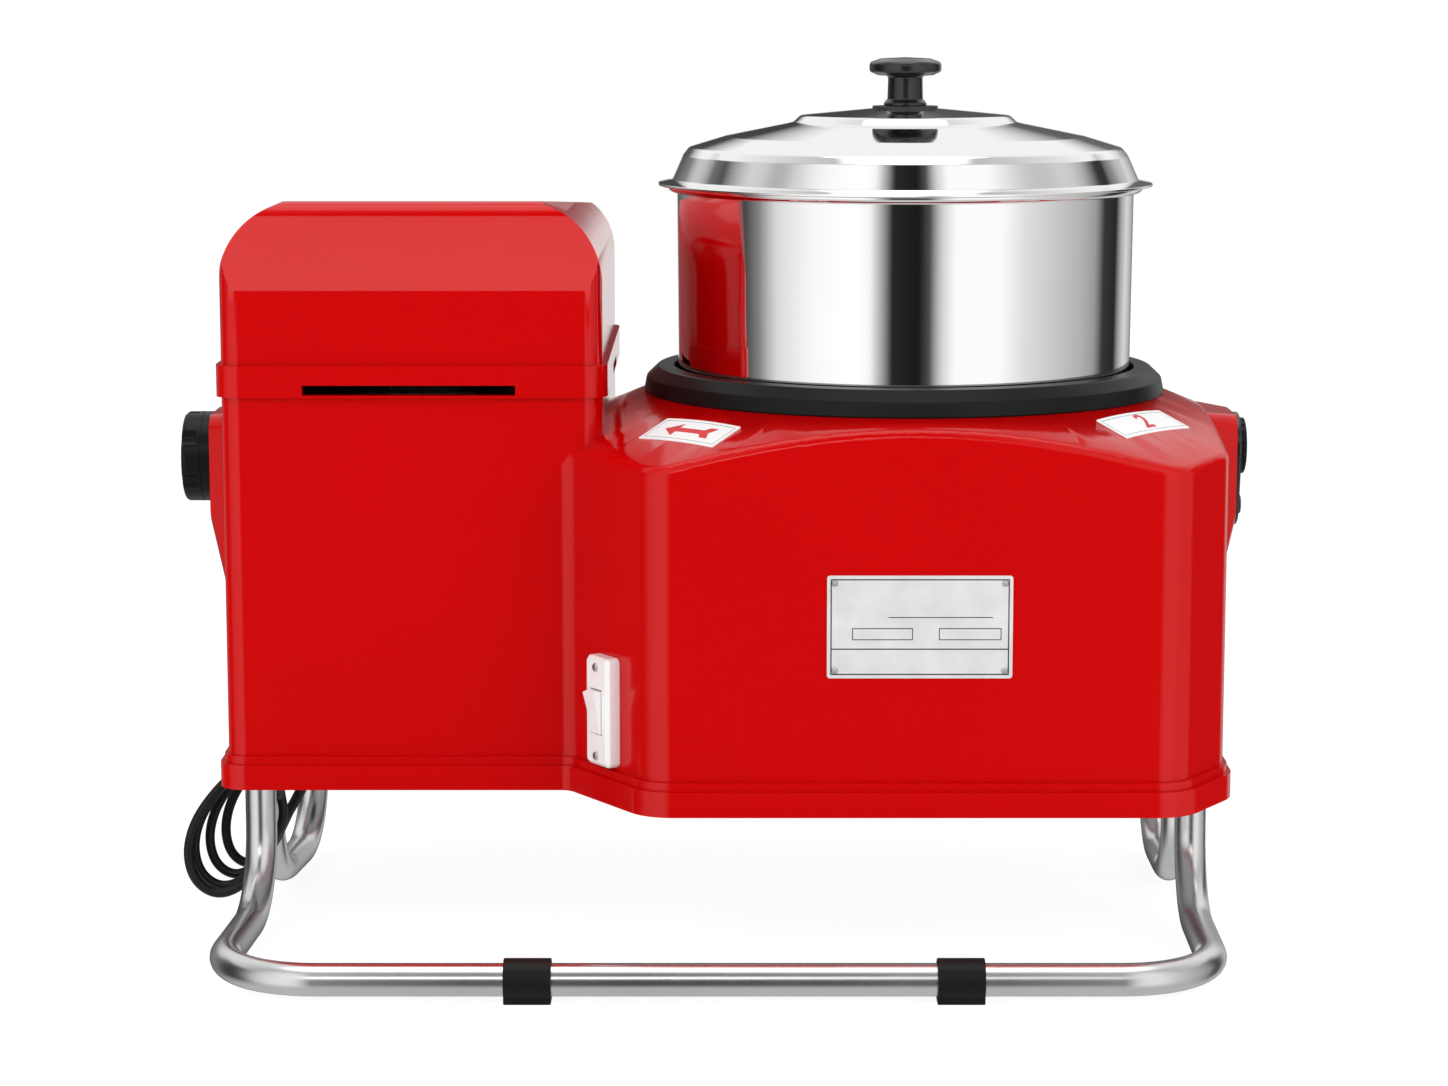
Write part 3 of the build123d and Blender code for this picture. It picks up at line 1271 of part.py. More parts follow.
tail_end = hank_route @ 1
tail_points = [
    (tail_end.X, tail_end.Y, tail_end.Z),
    (-253, tail_end.Y, tail_end.Z),
    (-241, 30, 102.2),
    (-236, 46, 101.5),
    (-235.5, 66, 99.3),
    (-235, 86, 96.5),
    (-234.2, 104, 95.4),
]


def run_radii(points):
    """Bend radius at each corner of a free stretch, as large as its two runs allow."""
    found = []
    for before, at, after in zip(points, points[1:], points[2:]):
        first = Vector(*at) - Vector(*before)
        second = Vector(*after) - Vector(*at)
        half = radians(first.get_angle(second)) / 2
        found.append(0.45 * min(first.length, second.length) / tan(half))
    return found


tail_radii = run_radii(tail_points)
tail_route = FilletPolyline(*tail_points, radius=tail_radii)
tail_start = Plane(origin=tail_route @ 0, z_dir=tail_route % 0)
tail = sweep(tail_start * Circle(cord_r), path=tail_route)
put_cord("cord_tail", tail)
print("tail length", round(tail_route.length, 1), "radii", [round(r, 1) for r in tail_radii])
print("tail volume over section times length", tail.volume / (pi * cord_r ** 2 * tail_route.length))

tops = [point for point, turn in knots if turn.X > 0.99]
tie_low = min(p.Y for p in tops) - cord_r - 2 * clear_gap
tie_high = max(p.Y for p in tops) + cord_r + 2 * clear_gap
tie_x, tie_z = tops[0].X - tie_wide / 2 - clear_gap, tops[0].Z
inner_low, inner_high = tie_z - cord_r - 5 * clear_gap, tie_z + cord_r + clear_gap
tie = block((tie_x - tie_wide / 2, tie_low - tie_wall, inner_low - tie_wall),
            (tie_x + tie_wide / 2, tie_high + tie_wall, inner_high + tie_wall))
tie -= block((tie_x - tie_wide, tie_low, inner_low), (tie_x + tie_wide, tie_high, inner_high))
put_cord("cord_tie", tie)
hold = (Vector(*tail_points[-1]) + Vector(*tail_points[-2])) / 2
lie = Vector(*tail_points[-1]) - Vector(*tail_points[-2])
hold_at = Plane(origin=hold, z_dir=lie)
clip_ring_r = cord_r + seat_gap + clip_ring_wall
clip = hold_at * Cylinder(clip_ring_r, clip_wide)
clip += block((hold.X - clip_ring_r, hold.Y - clip_wide / 2, hold.Z),
              (hold.X + clip_ring_r, hold.Y + clip_wide / 2, floor_plate_z))
clip += block((hold.X, hold.Y - clip_wide / 2, floor_plate_z - 2 * clip_ring_wall),
              (hold.X + clip_ring_r + clip_wide, hold.Y + clip_wide / 2, floor_plate_z))
clip &= block((-box_reach, -case_ahead, 0), (box_reach, case_ahead, floor_plate_z))
clip -= hold_at * Cylinder(cord_r + seat_gap, 3 * clip_wide)
put_cord("cord_clip", clip)
plug_top = tail_route @ 1
plug_way = tail_route % 1
plug_at = Plane(origin=plug_top, x_dir=(1, 0, 0), z_dir=plug_way)
plug_body = Pos(0, 0, plug_tall / 2 + plug_corner_r) * Box(plug_wide, plug_thick, plug_tall)
plug_body = fillet(plug_body.edges().filter_by(Axis.Z), plug_corner_r)
plug_body = fillet(plug_body.faces().sort_by(Axis.Z)[0].edges(), plug_corner_r / 2)
plug_body += Pos(0, 0, plug_corner_r / 2 + wall / 2) * Cylinder(cord_r + wall / 2, plug_corner_r + wall)
pin_mid = plug_corner_r + plug_tall + plug_pin_long / 2
for way in (-1, 1):
    pin = Cylinder(plug_pin_r, plug_pin_long + wall)
    plug_body += Pos(way * plug_pin_pitch / 2, 0, pin_mid - wall / 2) * pin
put_cord("plug", plug_at * plug_body)
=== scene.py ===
import bmesh
import bpy
import json
from math import cos, hypot, pi, radians, sin, tan
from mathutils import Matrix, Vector


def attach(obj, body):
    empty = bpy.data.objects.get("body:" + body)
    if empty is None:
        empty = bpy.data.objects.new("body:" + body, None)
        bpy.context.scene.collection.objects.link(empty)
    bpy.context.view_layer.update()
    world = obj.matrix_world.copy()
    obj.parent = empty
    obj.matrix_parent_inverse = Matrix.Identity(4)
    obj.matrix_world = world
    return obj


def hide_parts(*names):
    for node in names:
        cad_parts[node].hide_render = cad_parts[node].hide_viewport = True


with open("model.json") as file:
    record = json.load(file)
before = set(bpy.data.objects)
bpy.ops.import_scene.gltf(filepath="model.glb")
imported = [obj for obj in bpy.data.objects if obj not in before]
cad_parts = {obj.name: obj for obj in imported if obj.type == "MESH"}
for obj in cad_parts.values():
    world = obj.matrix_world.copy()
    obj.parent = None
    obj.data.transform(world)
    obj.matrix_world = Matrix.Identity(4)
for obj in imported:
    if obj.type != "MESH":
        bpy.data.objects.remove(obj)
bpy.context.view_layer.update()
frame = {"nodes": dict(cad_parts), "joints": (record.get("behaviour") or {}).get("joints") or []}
nodes = frame["nodes"]
mm = 0.001

# Studio: a white sweep in soft light, seen as the photograph sees it. The room behind
# the camera is dark between two tall pale panels, which is what polished steel shows.
def into_scene(name, data):
    """A new object that holds some data, at the origin."""
    made = bpy.data.objects.new(name, data)
    bpy.context.scene.collection.objects.link(made)
    return made


camera_lens = 89.5
camera_at = (0.0056, -2.1784, 0.565)
camera_down = 8.7
camera_data = bpy.data.cameras.new("view")
camera_data.lens = camera_lens
camera_data.sensor_width = 36
camera_data.clip_start, camera_data.clip_end = 0.05, 50
camera = into_scene("view", camera_data)
camera.location = camera_at
camera.rotation_euler = (radians(90 - camera_down), 0, 0)
bpy.context.scene.camera = camera
bpy.context.scene.view_settings.view_transform = "Standard"


class Wire:
    """A socket that adds its maths nodes as Python reckons with it."""

    def __init__(self, graph, socket):
        self.graph = graph
        self.socket = socket

    def maths(self, operation, *values):
        sockets = dict(enumerate(values))
        return self.graph.add("ShaderNodeMath", sockets, operation=operation)

    def __add__(self, other):
        return self.maths("ADD", self, other)

    def __sub__(self, other):
        return self.maths("SUBTRACT", self, other)

    def __rsub__(self, other):
        return self.maths("SUBTRACT", other, self)

    def __mul__(self, other):
        return self.maths("MULTIPLY", self, other)

    def __truediv__(self, other):
        return self.maths("DIVIDE", self, other)

    def __pow__(self, other):
        return self.maths("POWER", self, other)

    def __abs__(self):
        return self.maths("ABSOLUTE", self)

    def over(self, edge):
        return self.maths("GREATER_THAN", self, edge)

    def rise(self, low, high):
        return self.graph.add("ShaderNodeMapRange", {0: self, 1: low, 2: high, 3: 0.0, 4: 1.0})

    def sine(self):
        return self.maths("SINE", self)

    def turn_from(self, other):
        return self.maths("ARCTAN2", self, other)

    def ramp(self, *stops):
        return self.graph.add("ShaderNodeValToRGB", {"Fac": self}, stops=stops)

    __radd__ = __add__
    __rmul__ = __mul__


class Graph:
    """A node tree written as calls and sums."""

    def __init__(self, tree):
        self.tree = tree
        tree.nodes.clear()

    def add(self, kind, sockets=None, output=0, stops=None, **settings):
        made = self.tree.nodes.new(kind)
        for name, value in settings.items():
            setattr(made, name, value)
        if stops:
            band = made.color_ramp.elements
            while len(band) < len(stops):
                band.new(1)
            for element, (place, colour) in zip(band, stops):
                element.position = place
                element.color = (*colour, 1) if hasattr(colour, "__len__") else (colour, colour, colour, 1)
        for name, value in (sockets or {}).items():
            if isinstance(value, Wire):
                self.tree.links.new(value.socket, made.inputs[name])
            else:
                made.inputs[name].default_value = value
        return Wire(self, made.outputs[output]) if len(made.outputs) else made

    def split(self, vector):
        made = self.tree.nodes.new("ShaderNodeSeparateXYZ")
        self.tree.links.new(vector.socket, made.inputs[0])
        return [Wire(self, output) for output in made.outputs]

    def here(self, scale=(1, 1, 1)):
        place = self.add("ShaderNodeTexCoord", output="Object")
        return self.add("ShaderNodeMapping", {"Vector": place, "Scale": scale})

    def noise(self, scale, detail=2.0, stretch=(1, 1, 1), roughness=0.5):
        return self.add("ShaderNodeTexNoise", {"Vector": self.here(stretch), "Scale": scale,
                                               "Detail": detail, "Roughness": roughness})

    def blend(self, share, first, second):
        made = self.tree.nodes.new("ShaderNodeMix")
        made.data_type = "RGBA"
        for index, value in ((0, share), (6, first), (7, second)):
            if isinstance(value, Wire):
                self.tree.links.new(value.socket, made.inputs[index])
            else:
                made.inputs[index].default_value = (*value, 1) if hasattr(value, "__len__") else value
        return Wire(self, made.outputs[2])

    def bump(self, height, depth, normal=None):
        sockets = {"Height": height, "Distance": depth, "Strength": 1.0}
        if normal:
            sockets["Normal"] = normal
        return self.add("ShaderNodeBump", sockets)

    def surface(self, base, roughness, normal=None, **fixed):
        sockets = {"Base Color": base if isinstance(base, Wire) else (*base, 1), "Roughness": roughness}
        if normal:
            sockets["Normal"] = normal
        for name, value in fixed.items():
            sockets[name.replace("_", " ").title().replace("Ior", "IOR")] = value
        shader = self.add("ShaderNodeBsdfPrincipled", sockets)
        self.add("ShaderNodeOutputMaterial", {"Surface": shader})


def new_finish(name):
    """An empty material and the graph that fills it."""
    material = bpy.data.materials.new(name)
    material.use_nodes = True
    return material, Graph(material.node_tree)


# What the steel and the gloss show: walls of light and dark (degrees from the front, towards
# the right, and glow), a window in front, a ceiling, and the white sweep behind.
room_light = 0.84
wall_glow = [
    (-180, 0.05), (-160, 0.12), (-138, 0.3), (-125, 0.2), (-112, 0.06), (-96, 0.03), (-88, 0.08),
    (-80, 0.24), (-69, 0.74), (-50, 1.0), (-28, 1.1), (-20, 1.0), (-15, 0.5), (-9, 0.02), (5, 0.01),
    (10, 0.08), (16, 0.68), (23, 1.05), (46, 1.05), (60, 0.78), (80, 0.6), (98, 0.46), (108, 0.34),
    (116, 0.04), (130, 0.02), (137, 0.4), (146, 0.7), (155, 0.5), (168, 0.16), (180, 0.05)]
sky_glow, sky_gain = 0.35, 0.6
ground_glow = 0.6
window_glow, window_core_glow, window_core_left = 0.9, 1.6, 0.09
sweep_glow = 0.95
ceiling_glow = 2.3
world = bpy.data.worlds.new("studio")
bpy.context.scene.world = world
world.use_nodes = True
air = Graph(world.node_tree)
way_x, way_y, way_z = air.split(air.add("ShaderNodeTexCoord", output="Generated"))
turn = way_x.turn_from(way_y * -1) / (2 * pi) + 0.5
walls = turn.ramp(*[(degrees / 360 + 0.5, glow) for degrees, glow in wall_glow])
sky = way_y.rise(-0.5, 0.5) * sky_gain + sky_glow
window_core = 1 - abs(way_x + window_core_left).rise(0.08, 0.24)
window = (way_y * -1).rise(0.3, 0.5) * way_z.rise(0.30, 0.37) * (1 - way_z.rise(0.52, 0.58))
window = window * (window_core * window_core_glow + window_glow)
side_sky = way_y.rise(-0.4, -0.05) * way_z.rise(0.42, 0.52)
far_sky = way_y.rise(0.5, 0.72) * way_z.rise(0.2, 0.36)
sweep = way_y.rise(0.97, 0.99) * (1 - way_z.rise(0.0, 0.06)) * sweep_glow
ceiling = way_z.rise(0.90, 0.95) * ceiling_glow
high_up = far_sky.maths("MAXIMUM", far_sky, side_sky)
high_up = high_up.maths("MAXIMUM", high_up, way_z.rise(0.76, 0.88))
low_down = (way_z * -1).rise(0.4, 0.7)
seen = walls * (1 - high_up) * (1 - low_down) + high_up * sky + low_down * ground_glow
for glow in (window, sweep, ceiling):
    seen = seen.maths("MAXIMUM", seen, glow)
light_path = air.tree.nodes.new("ShaderNodeLightPath")
to_camera = Wire(air, light_path.outputs["Is Camera Ray"])
to_gloss = Wire(air, light_path.outputs["Is Glossy Ray"])
to_glass = Wire(air, light_path.outputs["Is Transmission Ray"])
white = to_camera.maths("MAXIMUM", to_camera, to_glass)
strength = white + (1 - white) * (to_gloss * seen + (1 - to_gloss) * room_light)
background = air.add("ShaderNodeBackground", {"Color": (1, 1, 1, 1), "Strength": strength})
air.add("ShaderNodeOutputWorld", {"Surface": background})

floor_half = 6.0
floor_white = 0.93
floor_lift, floor_lift_share = 1.15, 0.78
floor_mesh = bpy.data.meshes.new("floor")
floor_mesh.from_pydata([(-floor_half, -floor_half, 0), (floor_half, -floor_half, 0),
                        (floor_half, floor_half, 0), (-floor_half, floor_half, 0)], [], [(0, 1, 2, 3)])
floor = into_scene("floor", floor_mesh)
floor_paint, graph = new_finish("floor_white")
floor_path = graph.tree.nodes.new("ShaderNodeLightPath")
floor_seen = Wire(graph, floor_path.outputs["Is Camera Ray"])
floor_gloss = Wire(graph, floor_path.outputs["Is Glossy Ray"])
floor_shade = graph.add("ShaderNodeBsdfDiffuse", {"Color": (floor_white, floor_white, floor_white, 1)})
floor_glow = graph.add("ShaderNodeEmission", {"Color": (1, 1, 1, 1), "Strength": floor_lift})
floor_lit = graph.add("ShaderNodeMixShader", {
    0: floor_seen * floor_lift_share, 1: floor_shade, 2: floor_glow})
floor_clear = graph.add("ShaderNodeBsdfTransparent")
floor_mix = graph.add("ShaderNodeMixShader", {0: floor_gloss, 1: floor_lit, 2: floor_clear})
graph.add("ShaderNodeOutputMaterial", {"Surface": floor_mix})
floor_mesh.materials.append(floor_paint)


def soft_lamp(name, place, aim, size, watts):
    """A square soft box that looks at a point."""
    data = bpy.data.lights.new(name, "AREA")
    data.energy = watts
    data.shape = "SQUARE"
    data.size = size
    lamp = into_scene(name, data)
    lamp.location = place
    lamp.rotation_mode = "QUATERNION"
    lamp.rotation_quaternion = (Vector(aim) - Vector(place)).to_track_quat("-Z", "Y")
    lamp.visible_glossy = False


soft_lamp("key", place=(-2.2, -2.4, 2.4), aim=(0, 0, 0.2), size=1.6, watts=32)
soft_lamp("fill", place=(2.4, -2.2, 1.6), aim=(0, 0, 0.25), size=1.6, watts=22)
soft_lamp("top", place=(0.2, 0.6, 2.8), aim=(0, 0, 0.3), size=1.8, watts=14)


# Mains lead: black flexible sheath, 6 mm thick, out of the gland under the tower, down in
# four tied loops and along the base plate to its plug. Each loop takes the same shares of
# its own width and drop.
cord_thick = 6 * mm
cord_exit = (-0.268, -0.014, 0.097)
waist_x = -254.0
waist_z = 103.0
cord_turns = [(-14.0, -326.5, 14.5), (-2.0, -324.0, 16.5), (6.0, -315.5, 22.0), (14.0, -306.5, 27.0)]
last_turn_y = 22.0
turn_shares = [
    (0.02, 0.70), (0.14, 0.54), (0.27, 0.36), (0.40, 0.17), (0.56, 0.03), (0.76, -0.02), (0.94, 0.08),
    (1.00, 0.28), (0.93, 0.50), (0.76, 0.70), (0.56, 0.86), (0.36, 0.97), (0.17, 1.00), (0.02, 0.95),
    (-0.04, 0.84)]
tail_route = [
    (-253, 21.6, 102.6), (-241, 30, 102.2), (-236, 46, 101.5), (-235.5, 66, 99.3), (-235, 86, 96.5),
    (-234.2, 104, 95.4)]
cord_points = [Vector(cord_exit) / mm, Vector((-268.4, -14.0, 84.0))]
turn_starts = [row[0] for row in cord_turns] + [last_turn_y]
for number, (turn_y, left, bottom) in enumerate(cord_turns):
    shares = turn_shares[1:] if number == 0 else turn_shares
    if number == len(cord_turns) - 1:
        shares = shares[:-2]
    for step, (across, up) in enumerate(shares, 1):
        y = turn_y + (turn_starts[number + 1] - turn_y) * step / len(shares)
        cord_points.append(Vector((waist_x + (left - waist_x) * across, y, bottom + (waist_z - bottom) * up)))
cord_points += [Vector(point) for point in tail_route]


def cord_curve(name, points, thick):
    """A smooth lead through its route's points, in millimetres."""
    data = bpy.data.curves.new(name, "CURVE")
    data.dimensions = "3D"
    data.resolution_u = 8
    data.bevel_depth = thick / 2
    data.bevel_resolution = 5
    data.use_fill_caps = True
    spline = data.splines.new("NURBS")
    spline.points.add(len(points) - 1)
    for place, point in zip(spline.points, points):
        place.co = (*(Vector(point) * mm), 1)
    spline.order_u = 3
    spline.use_endpoint_u = True
    return into_scene(name, data)


sheath, graph = new_finish("cord_sheath")
grain = graph.noise(900, 3)
graph.surface(graph.blend(grain, (0.004, 0.004, 0.004), (0.010, 0.010, 0.010)), 0.30 + grain * 0.10,
              graph.bump(grain, 0.00003), specular_ior_level=0.3)
mains_lead = cord_curve("mains_lead", cord_points, cord_thick)
mains_lead.data.materials.append(sheath)
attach(mains_lead, "case")
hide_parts("cord_hank", "cord_tail")


# Stand: bright-drawn steel tube, bent cold and buffed. The front loop is one length, the two
# rear skids are shorter ones, and all six legs stop in cups under the base plate.
tube_r = 9.5 * mm
tube_sides = 40
bend_steps = 14


def open_tree(name, inputs):
    """The graph of a new geometry tree with named inputs, and a wire from each of them."""
    tree = bpy.data.node_groups.new(name, "GeometryNodeTree")
    for label, kind in (("Geometry", "Geometry"), *inputs, ("Finish", "Material")):
        tree.interface.new_socket(label, in_out="INPUT", socket_type="NodeSocket" + kind)
    tree.interface.new_socket("Geometry", in_out="OUTPUT", socket_type="NodeSocketGeometry")
    graph = Graph(tree)
    given = tree.nodes.new("NodeGroupInput")
    return graph, {socket.name: Wire(graph, socket) for socket in given.outputs if socket.name}


def close_tree(graph, geometry, finish):
    """The end of a geometry tree: instances made real, one material, and the way out."""
    real = graph.add("GeometryNodeRealizeInstances", {"Geometry": geometry})
    painted = graph.add("GeometryNodeSetMaterial", {"Geometry": real, "Material": finish})
    out = graph.tree.nodes.new("NodeGroupOutput")
    graph.tree.links.new(painted.socket, out.inputs[0])
    return graph.tree


def tube_tree():
    """Geometry nodes that turn a cornered route into a bent tube, with each corner's radius on it."""
    graph, wire = open_tree("bent_tube", [("Tube Radius", "Float"), ("Sides", "Int"), ("Bend Steps", "Int")])
    bends = graph.add("GeometryNodeInputRadius")
    corners = {"Curve": wire["Geometry"], "Radius": bends, "Count": wire["Bend Steps"], "Limit Radius": True}
    filled = graph.add("GeometryNodeFilletCurve", corners, mode="POLY")
    even = graph.add("GeometryNodeSetCurveRadius", {"Curve": filled, "Radius": 1.0})
    hoop = graph.add("GeometryNodeCurvePrimitiveCircle", {"Resolution": wire["Sides"],
                                                          "Radius": wire["Tube Radius"]}, mode="RADIUS")
    skin = graph.add("GeometryNodeCurveToMesh", {"Curve": even, "Profile Curve": hoop, "Fill Caps": True})
    smooth = graph.add("GeometryNodeSetShadeSmooth", {"Geometry": skin, "Shade Smooth": True})
    return close_tree(graph, smooth, wire["Finish"])


def plain_mesh(source):
    """The mesh that an object shows, with its modifiers in it."""
    bpy.context.view_layer.update()
    depsgraph = bpy.context.evaluated_depsgraph_get()
    return bpy.data.meshes.new_from_object(source.evaluated_get(depsgraph), depsgraph=depsgraph)


def settle(source, tree, inputs, name):
    """The plain mesh that a tree makes of an object, as a new object at the origin."""
    modifier = source.modifiers.new("shape", "NODES")
    modifier.node_group = tree
    for item in tree.interface.items_tree:
        if item.in_out == "INPUT" and item.name in inputs:
            modifier[item.identifier] = inputs[item.name]
    mesh = plain_mesh(source)
    source.modifiers.remove(modifier)
    bpy.data.objects.remove(source)
    mesh.name = name
    return into_scene(name, mesh)


def route_of(runs):
    """A curve object of straight runs, each with corners (x, y, z, bend radius) in millimetres."""
    data = bpy.data.curves.new("route", "CURVE")
    data.dimensions = "3D"
    for corners in runs:
        spline = data.splines.new("POLY")
        spline.points.add(len(corners) - 1)
        for place, (x, y, z, bend) in zip(spline.points, corners):
            place.co = (x * mm, y * mm, z * mm, 1)
            place.radius = bend * mm
    return into_scene("route", data)


tube_steel, graph = new_finish("tube_steel")
drawn = graph.noise(90, 3)
smudge = graph.noise(11, 3)
graph.surface(graph.blend(smudge, (0.60, 0.60, 0.605), (0.82, 0.82, 0.82)),
              0.20 + drawn * 0.03 + smudge * 0.07, graph.bump(smudge, 0.00006), metallic=1.0)
leg_top = 106.9
bar_z = 12.4
front_y, leg_y = -201.35, -29.35
skid_front_y, skid_back_y = 40.65, 163.65
skid_z = 9.5
bar_bend, leg_bend, skid_bend = 57, 50, 44
bent_tube = tube_tree()
tube_inputs = {"Tube Radius": tube_r, "Sides": tube_sides, "Bend Steps": bend_steps, "Finish": tube_steel}
front_run = [
    (-277, leg_y, leg_top, 0), (-277, leg_y, bar_z, leg_bend), (-287, front_y, bar_z, bar_bend),
    (287, front_y, bar_z, bar_bend), (290.5, leg_y, bar_z, leg_bend), (290.5, leg_y, leg_top, 0)]
front_tube = settle(route_of([front_run]), bent_tube, tube_inputs, "front_tube")
skid_runs = [[
    (front_x, skid_front_y, leg_top, 0), (front_x, skid_front_y, skid_z, skid_bend),
    (back_x, skid_back_y, skid_z, skid_bend), (back_x, skid_back_y, leg_top, 0)]
    for front_x, back_x in ((-281.5, -267), (291, 291))]
rear_tubes = settle(route_of(skid_runs), bent_tube, tube_inputs, "rear_tubes")
for tube, node in ((front_tube, "front_loop"), (rear_tubes, "rear_skids")):
    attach(tube, "case")
    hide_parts(node)


# Foot clips and leg cups: black rubber clips snapped over the front bar, and pressed steel
# cups welded under the base plate, in which the six tube ends stand.
def dress(node, material):
    """Give a part that keeps its own form its finish."""
    for place in nodes[node].material_slots:
        place.material = material


def mesh_piece(shape, name, material):
    """The object that a finished bmesh becomes."""
    mesh = bpy.data.meshes.new(name)
    shape.to_mesh(mesh)
    shape.free()
    mesh.materials.append(material)
    return into_scene(name, mesh)


def recast(node, body, material, name, sharp=32, edge=0.0, crease_z=None):
    """A copy of a part with its facets joined, its corners eased and its curves smooth."""
    weld, sliver, crease_reach = 0.004 * mm, 0.002 * mm, 0.4 * mm
    flat_turn, crease_turn = radians(0.6), radians(6)
    shape = bmesh.new()
    shape.from_mesh(nodes[node].data)
    bmesh.ops.remove_doubles(shape, verts=shape.verts, dist=weld)
    bmesh.ops.dissolve_degenerate(shape, edges=shape.edges, dist=sliver)
    if edge:
        bmesh.ops.dissolve_limit(shape, angle_limit=flat_turn, verts=shape.verts, edges=shape.edges)
    eased = shape.edges.layers.float.new("bevel_weight_edge")
    for border in shape.edges:
        turn = border.calc_face_angle(pi)
        level = crease_z and all(abs(corner.co.z - crease_z) < crease_reach for corner in border.verts)
        crisp = turn > radians(sharp) or (level and turn > crease_turn)
        border.smooth = not crisp
        border[eased] = 1.0 if crisp else 0.0
    for side in shape.faces:
        side.smooth = True
    made = mesh_piece(shape, name, material)
    if edge:
        bevel = made.modifiers.new("eased_edges", "BEVEL")
        bevel.width = edge
        bevel.segments = 2
        bevel.limit_method = "WEIGHT"
        bevel.use_clamp_overlap = True
    weigh = made.modifiers.new("even_light", "WEIGHTED_NORMAL")
    weigh.keep_sharp = not edge
    weigh.weight = 80
    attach(made, body)
    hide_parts(node)
    return made


rubber, graph = new_finish("clip_rubber")
grit = graph.noise(1400, 2)
graph.surface(graph.blend(grit, (0.003, 0.003, 0.003), (0.008, 0.008, 0.008)), 0.35 + grit * 0.2,
              graph.bump(grit, 0.00006), specular_ior_level=0.2)
recast("foot_clips", "case", rubber, "bar_clips", sharp=25, edge=0.9 * mm)
zinc, graph = new_finish("zinc_plate")
crystal = graph.add("ShaderNodeTexVoronoi", {"Vector": graph.here(), "Scale": 260.0}, output="Color")
mottle = graph.noise(30, 3)
graph.surface(graph.blend(mottle, (0.50, 0.51, 0.53), (0.66, 0.67, 0.68)),
              graph.split(crystal)[0] * 0.12 + 0.28, metallic=1.0)
dress("leg_sockets", zinc)
dress("base_plate", zinc)


# Case: one tall moulding in gloss red, stepped in plan, with a coned roof under the drum, a
# boss on each end and a flared skirt. The moulding skin is very slightly uneven.
red_dark = (0.530, 0.0, 0.0)
red_bright = (0.580, 0.0, 0.0008)
gloss_red, graph = new_finish("gloss_red")
cloud = graph.noise(5, 2)
peel = graph.noise(420, 2)
sink = graph.noise(16, 2)
graph.surface(graph.blend(cloud, red_dark, red_bright), 0.10 + peel * 0.05,
              graph.bump(peel, 0.000010, graph.bump(sink, 0.00012)), specular_ior_level=0.30)
recast("body_shell", "case", gloss_red, "red_shell", sharp=34, edge=0.6 * mm)


# Motor and its carrier, inside the tower: a laminated stack with varnished copper windings
# between cast end bells, on a steel plate that stands on four pillars over the belt.
cast_metal, graph = new_finish("cast_aluminium")
sand = graph.noise(700, 4, roughness=0.7)
pour = graph.noise(25, 2)
graph.surface(graph.blend(pour, (0.42, 0.42, 0.43), (0.58, 0.58, 0.58)), 0.42 + sand * 0.25,
              graph.bump(sand, 0.00018), metallic=1.0)
laminate, graph = new_finish("motor_laminations")
height = graph.split(graph.here())[2]
layers = (height * (2 * pi / (1.1 * mm))).sine()
graph.surface(graph.blend(layers * 0.5 + 0.5, (0.16, 0.16, 0.17), (0.34, 0.34, 0.35)), 0.45,
              graph.bump(layers, 0.00010), metallic=1.0)
copper, graph = new_finish("winding_copper")
strand = graph.noise(500, 3, (1, 1, 3))
graph.surface(graph.blend(strand, (0.42, 0.12, 0.04), (0.72, 0.30, 0.12)), 0.3 + strand * 0.2,
              graph.bump(strand, 0.0004), metallic=1.0)
for node in ("motor_plate", "motor_pillars", "motor_tie_bolts", "motor_rotor", "port_shaft", "pedestal_bolts",
             "capacitor_clip"):
    dress(node, zinc)
for node in ("motor_end_bells", "motor_pulley", "drum_pulley", "drum_hub", "post_pedestal", "port_sleeve"):
    dress(node, cast_metal)
dress("motor_stack", laminate)
dress("motor_windings", copper)


# Belt, bearings, gears and electrics: a ribbed rubber V-belt, ground ball races, cut mitre
# gears, a drawn capacitor can and black mouldings, all screwed to the base plate.
bearing_steel, graph = new_finish("bearing_steel")
race = graph.noise(300, 2, (1, 1, 10))
graph.surface(graph.blend(race, (0.55, 0.55, 0.56), (0.68, 0.68, 0.69)), 0.16 + race * 0.1,
              graph.bump(race, 0.00002), metallic=1.0)
belt_rubber, graph = new_finish("belt_rubber")
cloth = graph.noise(1100, 3)
graph.surface(graph.blend(cloth, (0.010, 0.010, 0.010), (0.035, 0.034, 0.032)), 0.7 + cloth * 0.2,
              graph.bump(cloth, 0.0002))
thermoset, graph = new_finish("black_thermoset")
fleck = graph.noise(800, 2)
graph.surface(graph.blend(fleck, (0.02, 0.02, 0.02), (0.04, 0.04, 0.04)), 0.4 + fleck * 0.15,
              graph.bump(fleck, 0.00005))
for node in ("ball_bearings", "roller_pins", "motor_mitre_gear", "port_mitre_gear"):
    dress(node, bearing_steel)
dress("v_belt", belt_rubber)
dress("run_capacitor", cast_metal)
for node in ("switch_body", "control_bodies", "terminal_block", "cord_gland", "cord_clip", "cord_tie"):
    dress(node, thermoset)


# Drum: deep-drawn stainless sheet, polished to a mirror outside, with a rolled bead at its
# rim, a rounded foot and a tube in the middle that the fixed post comes up through.
drum_x, drum_y = 0.1164, 0.03865
turn_steps = 256


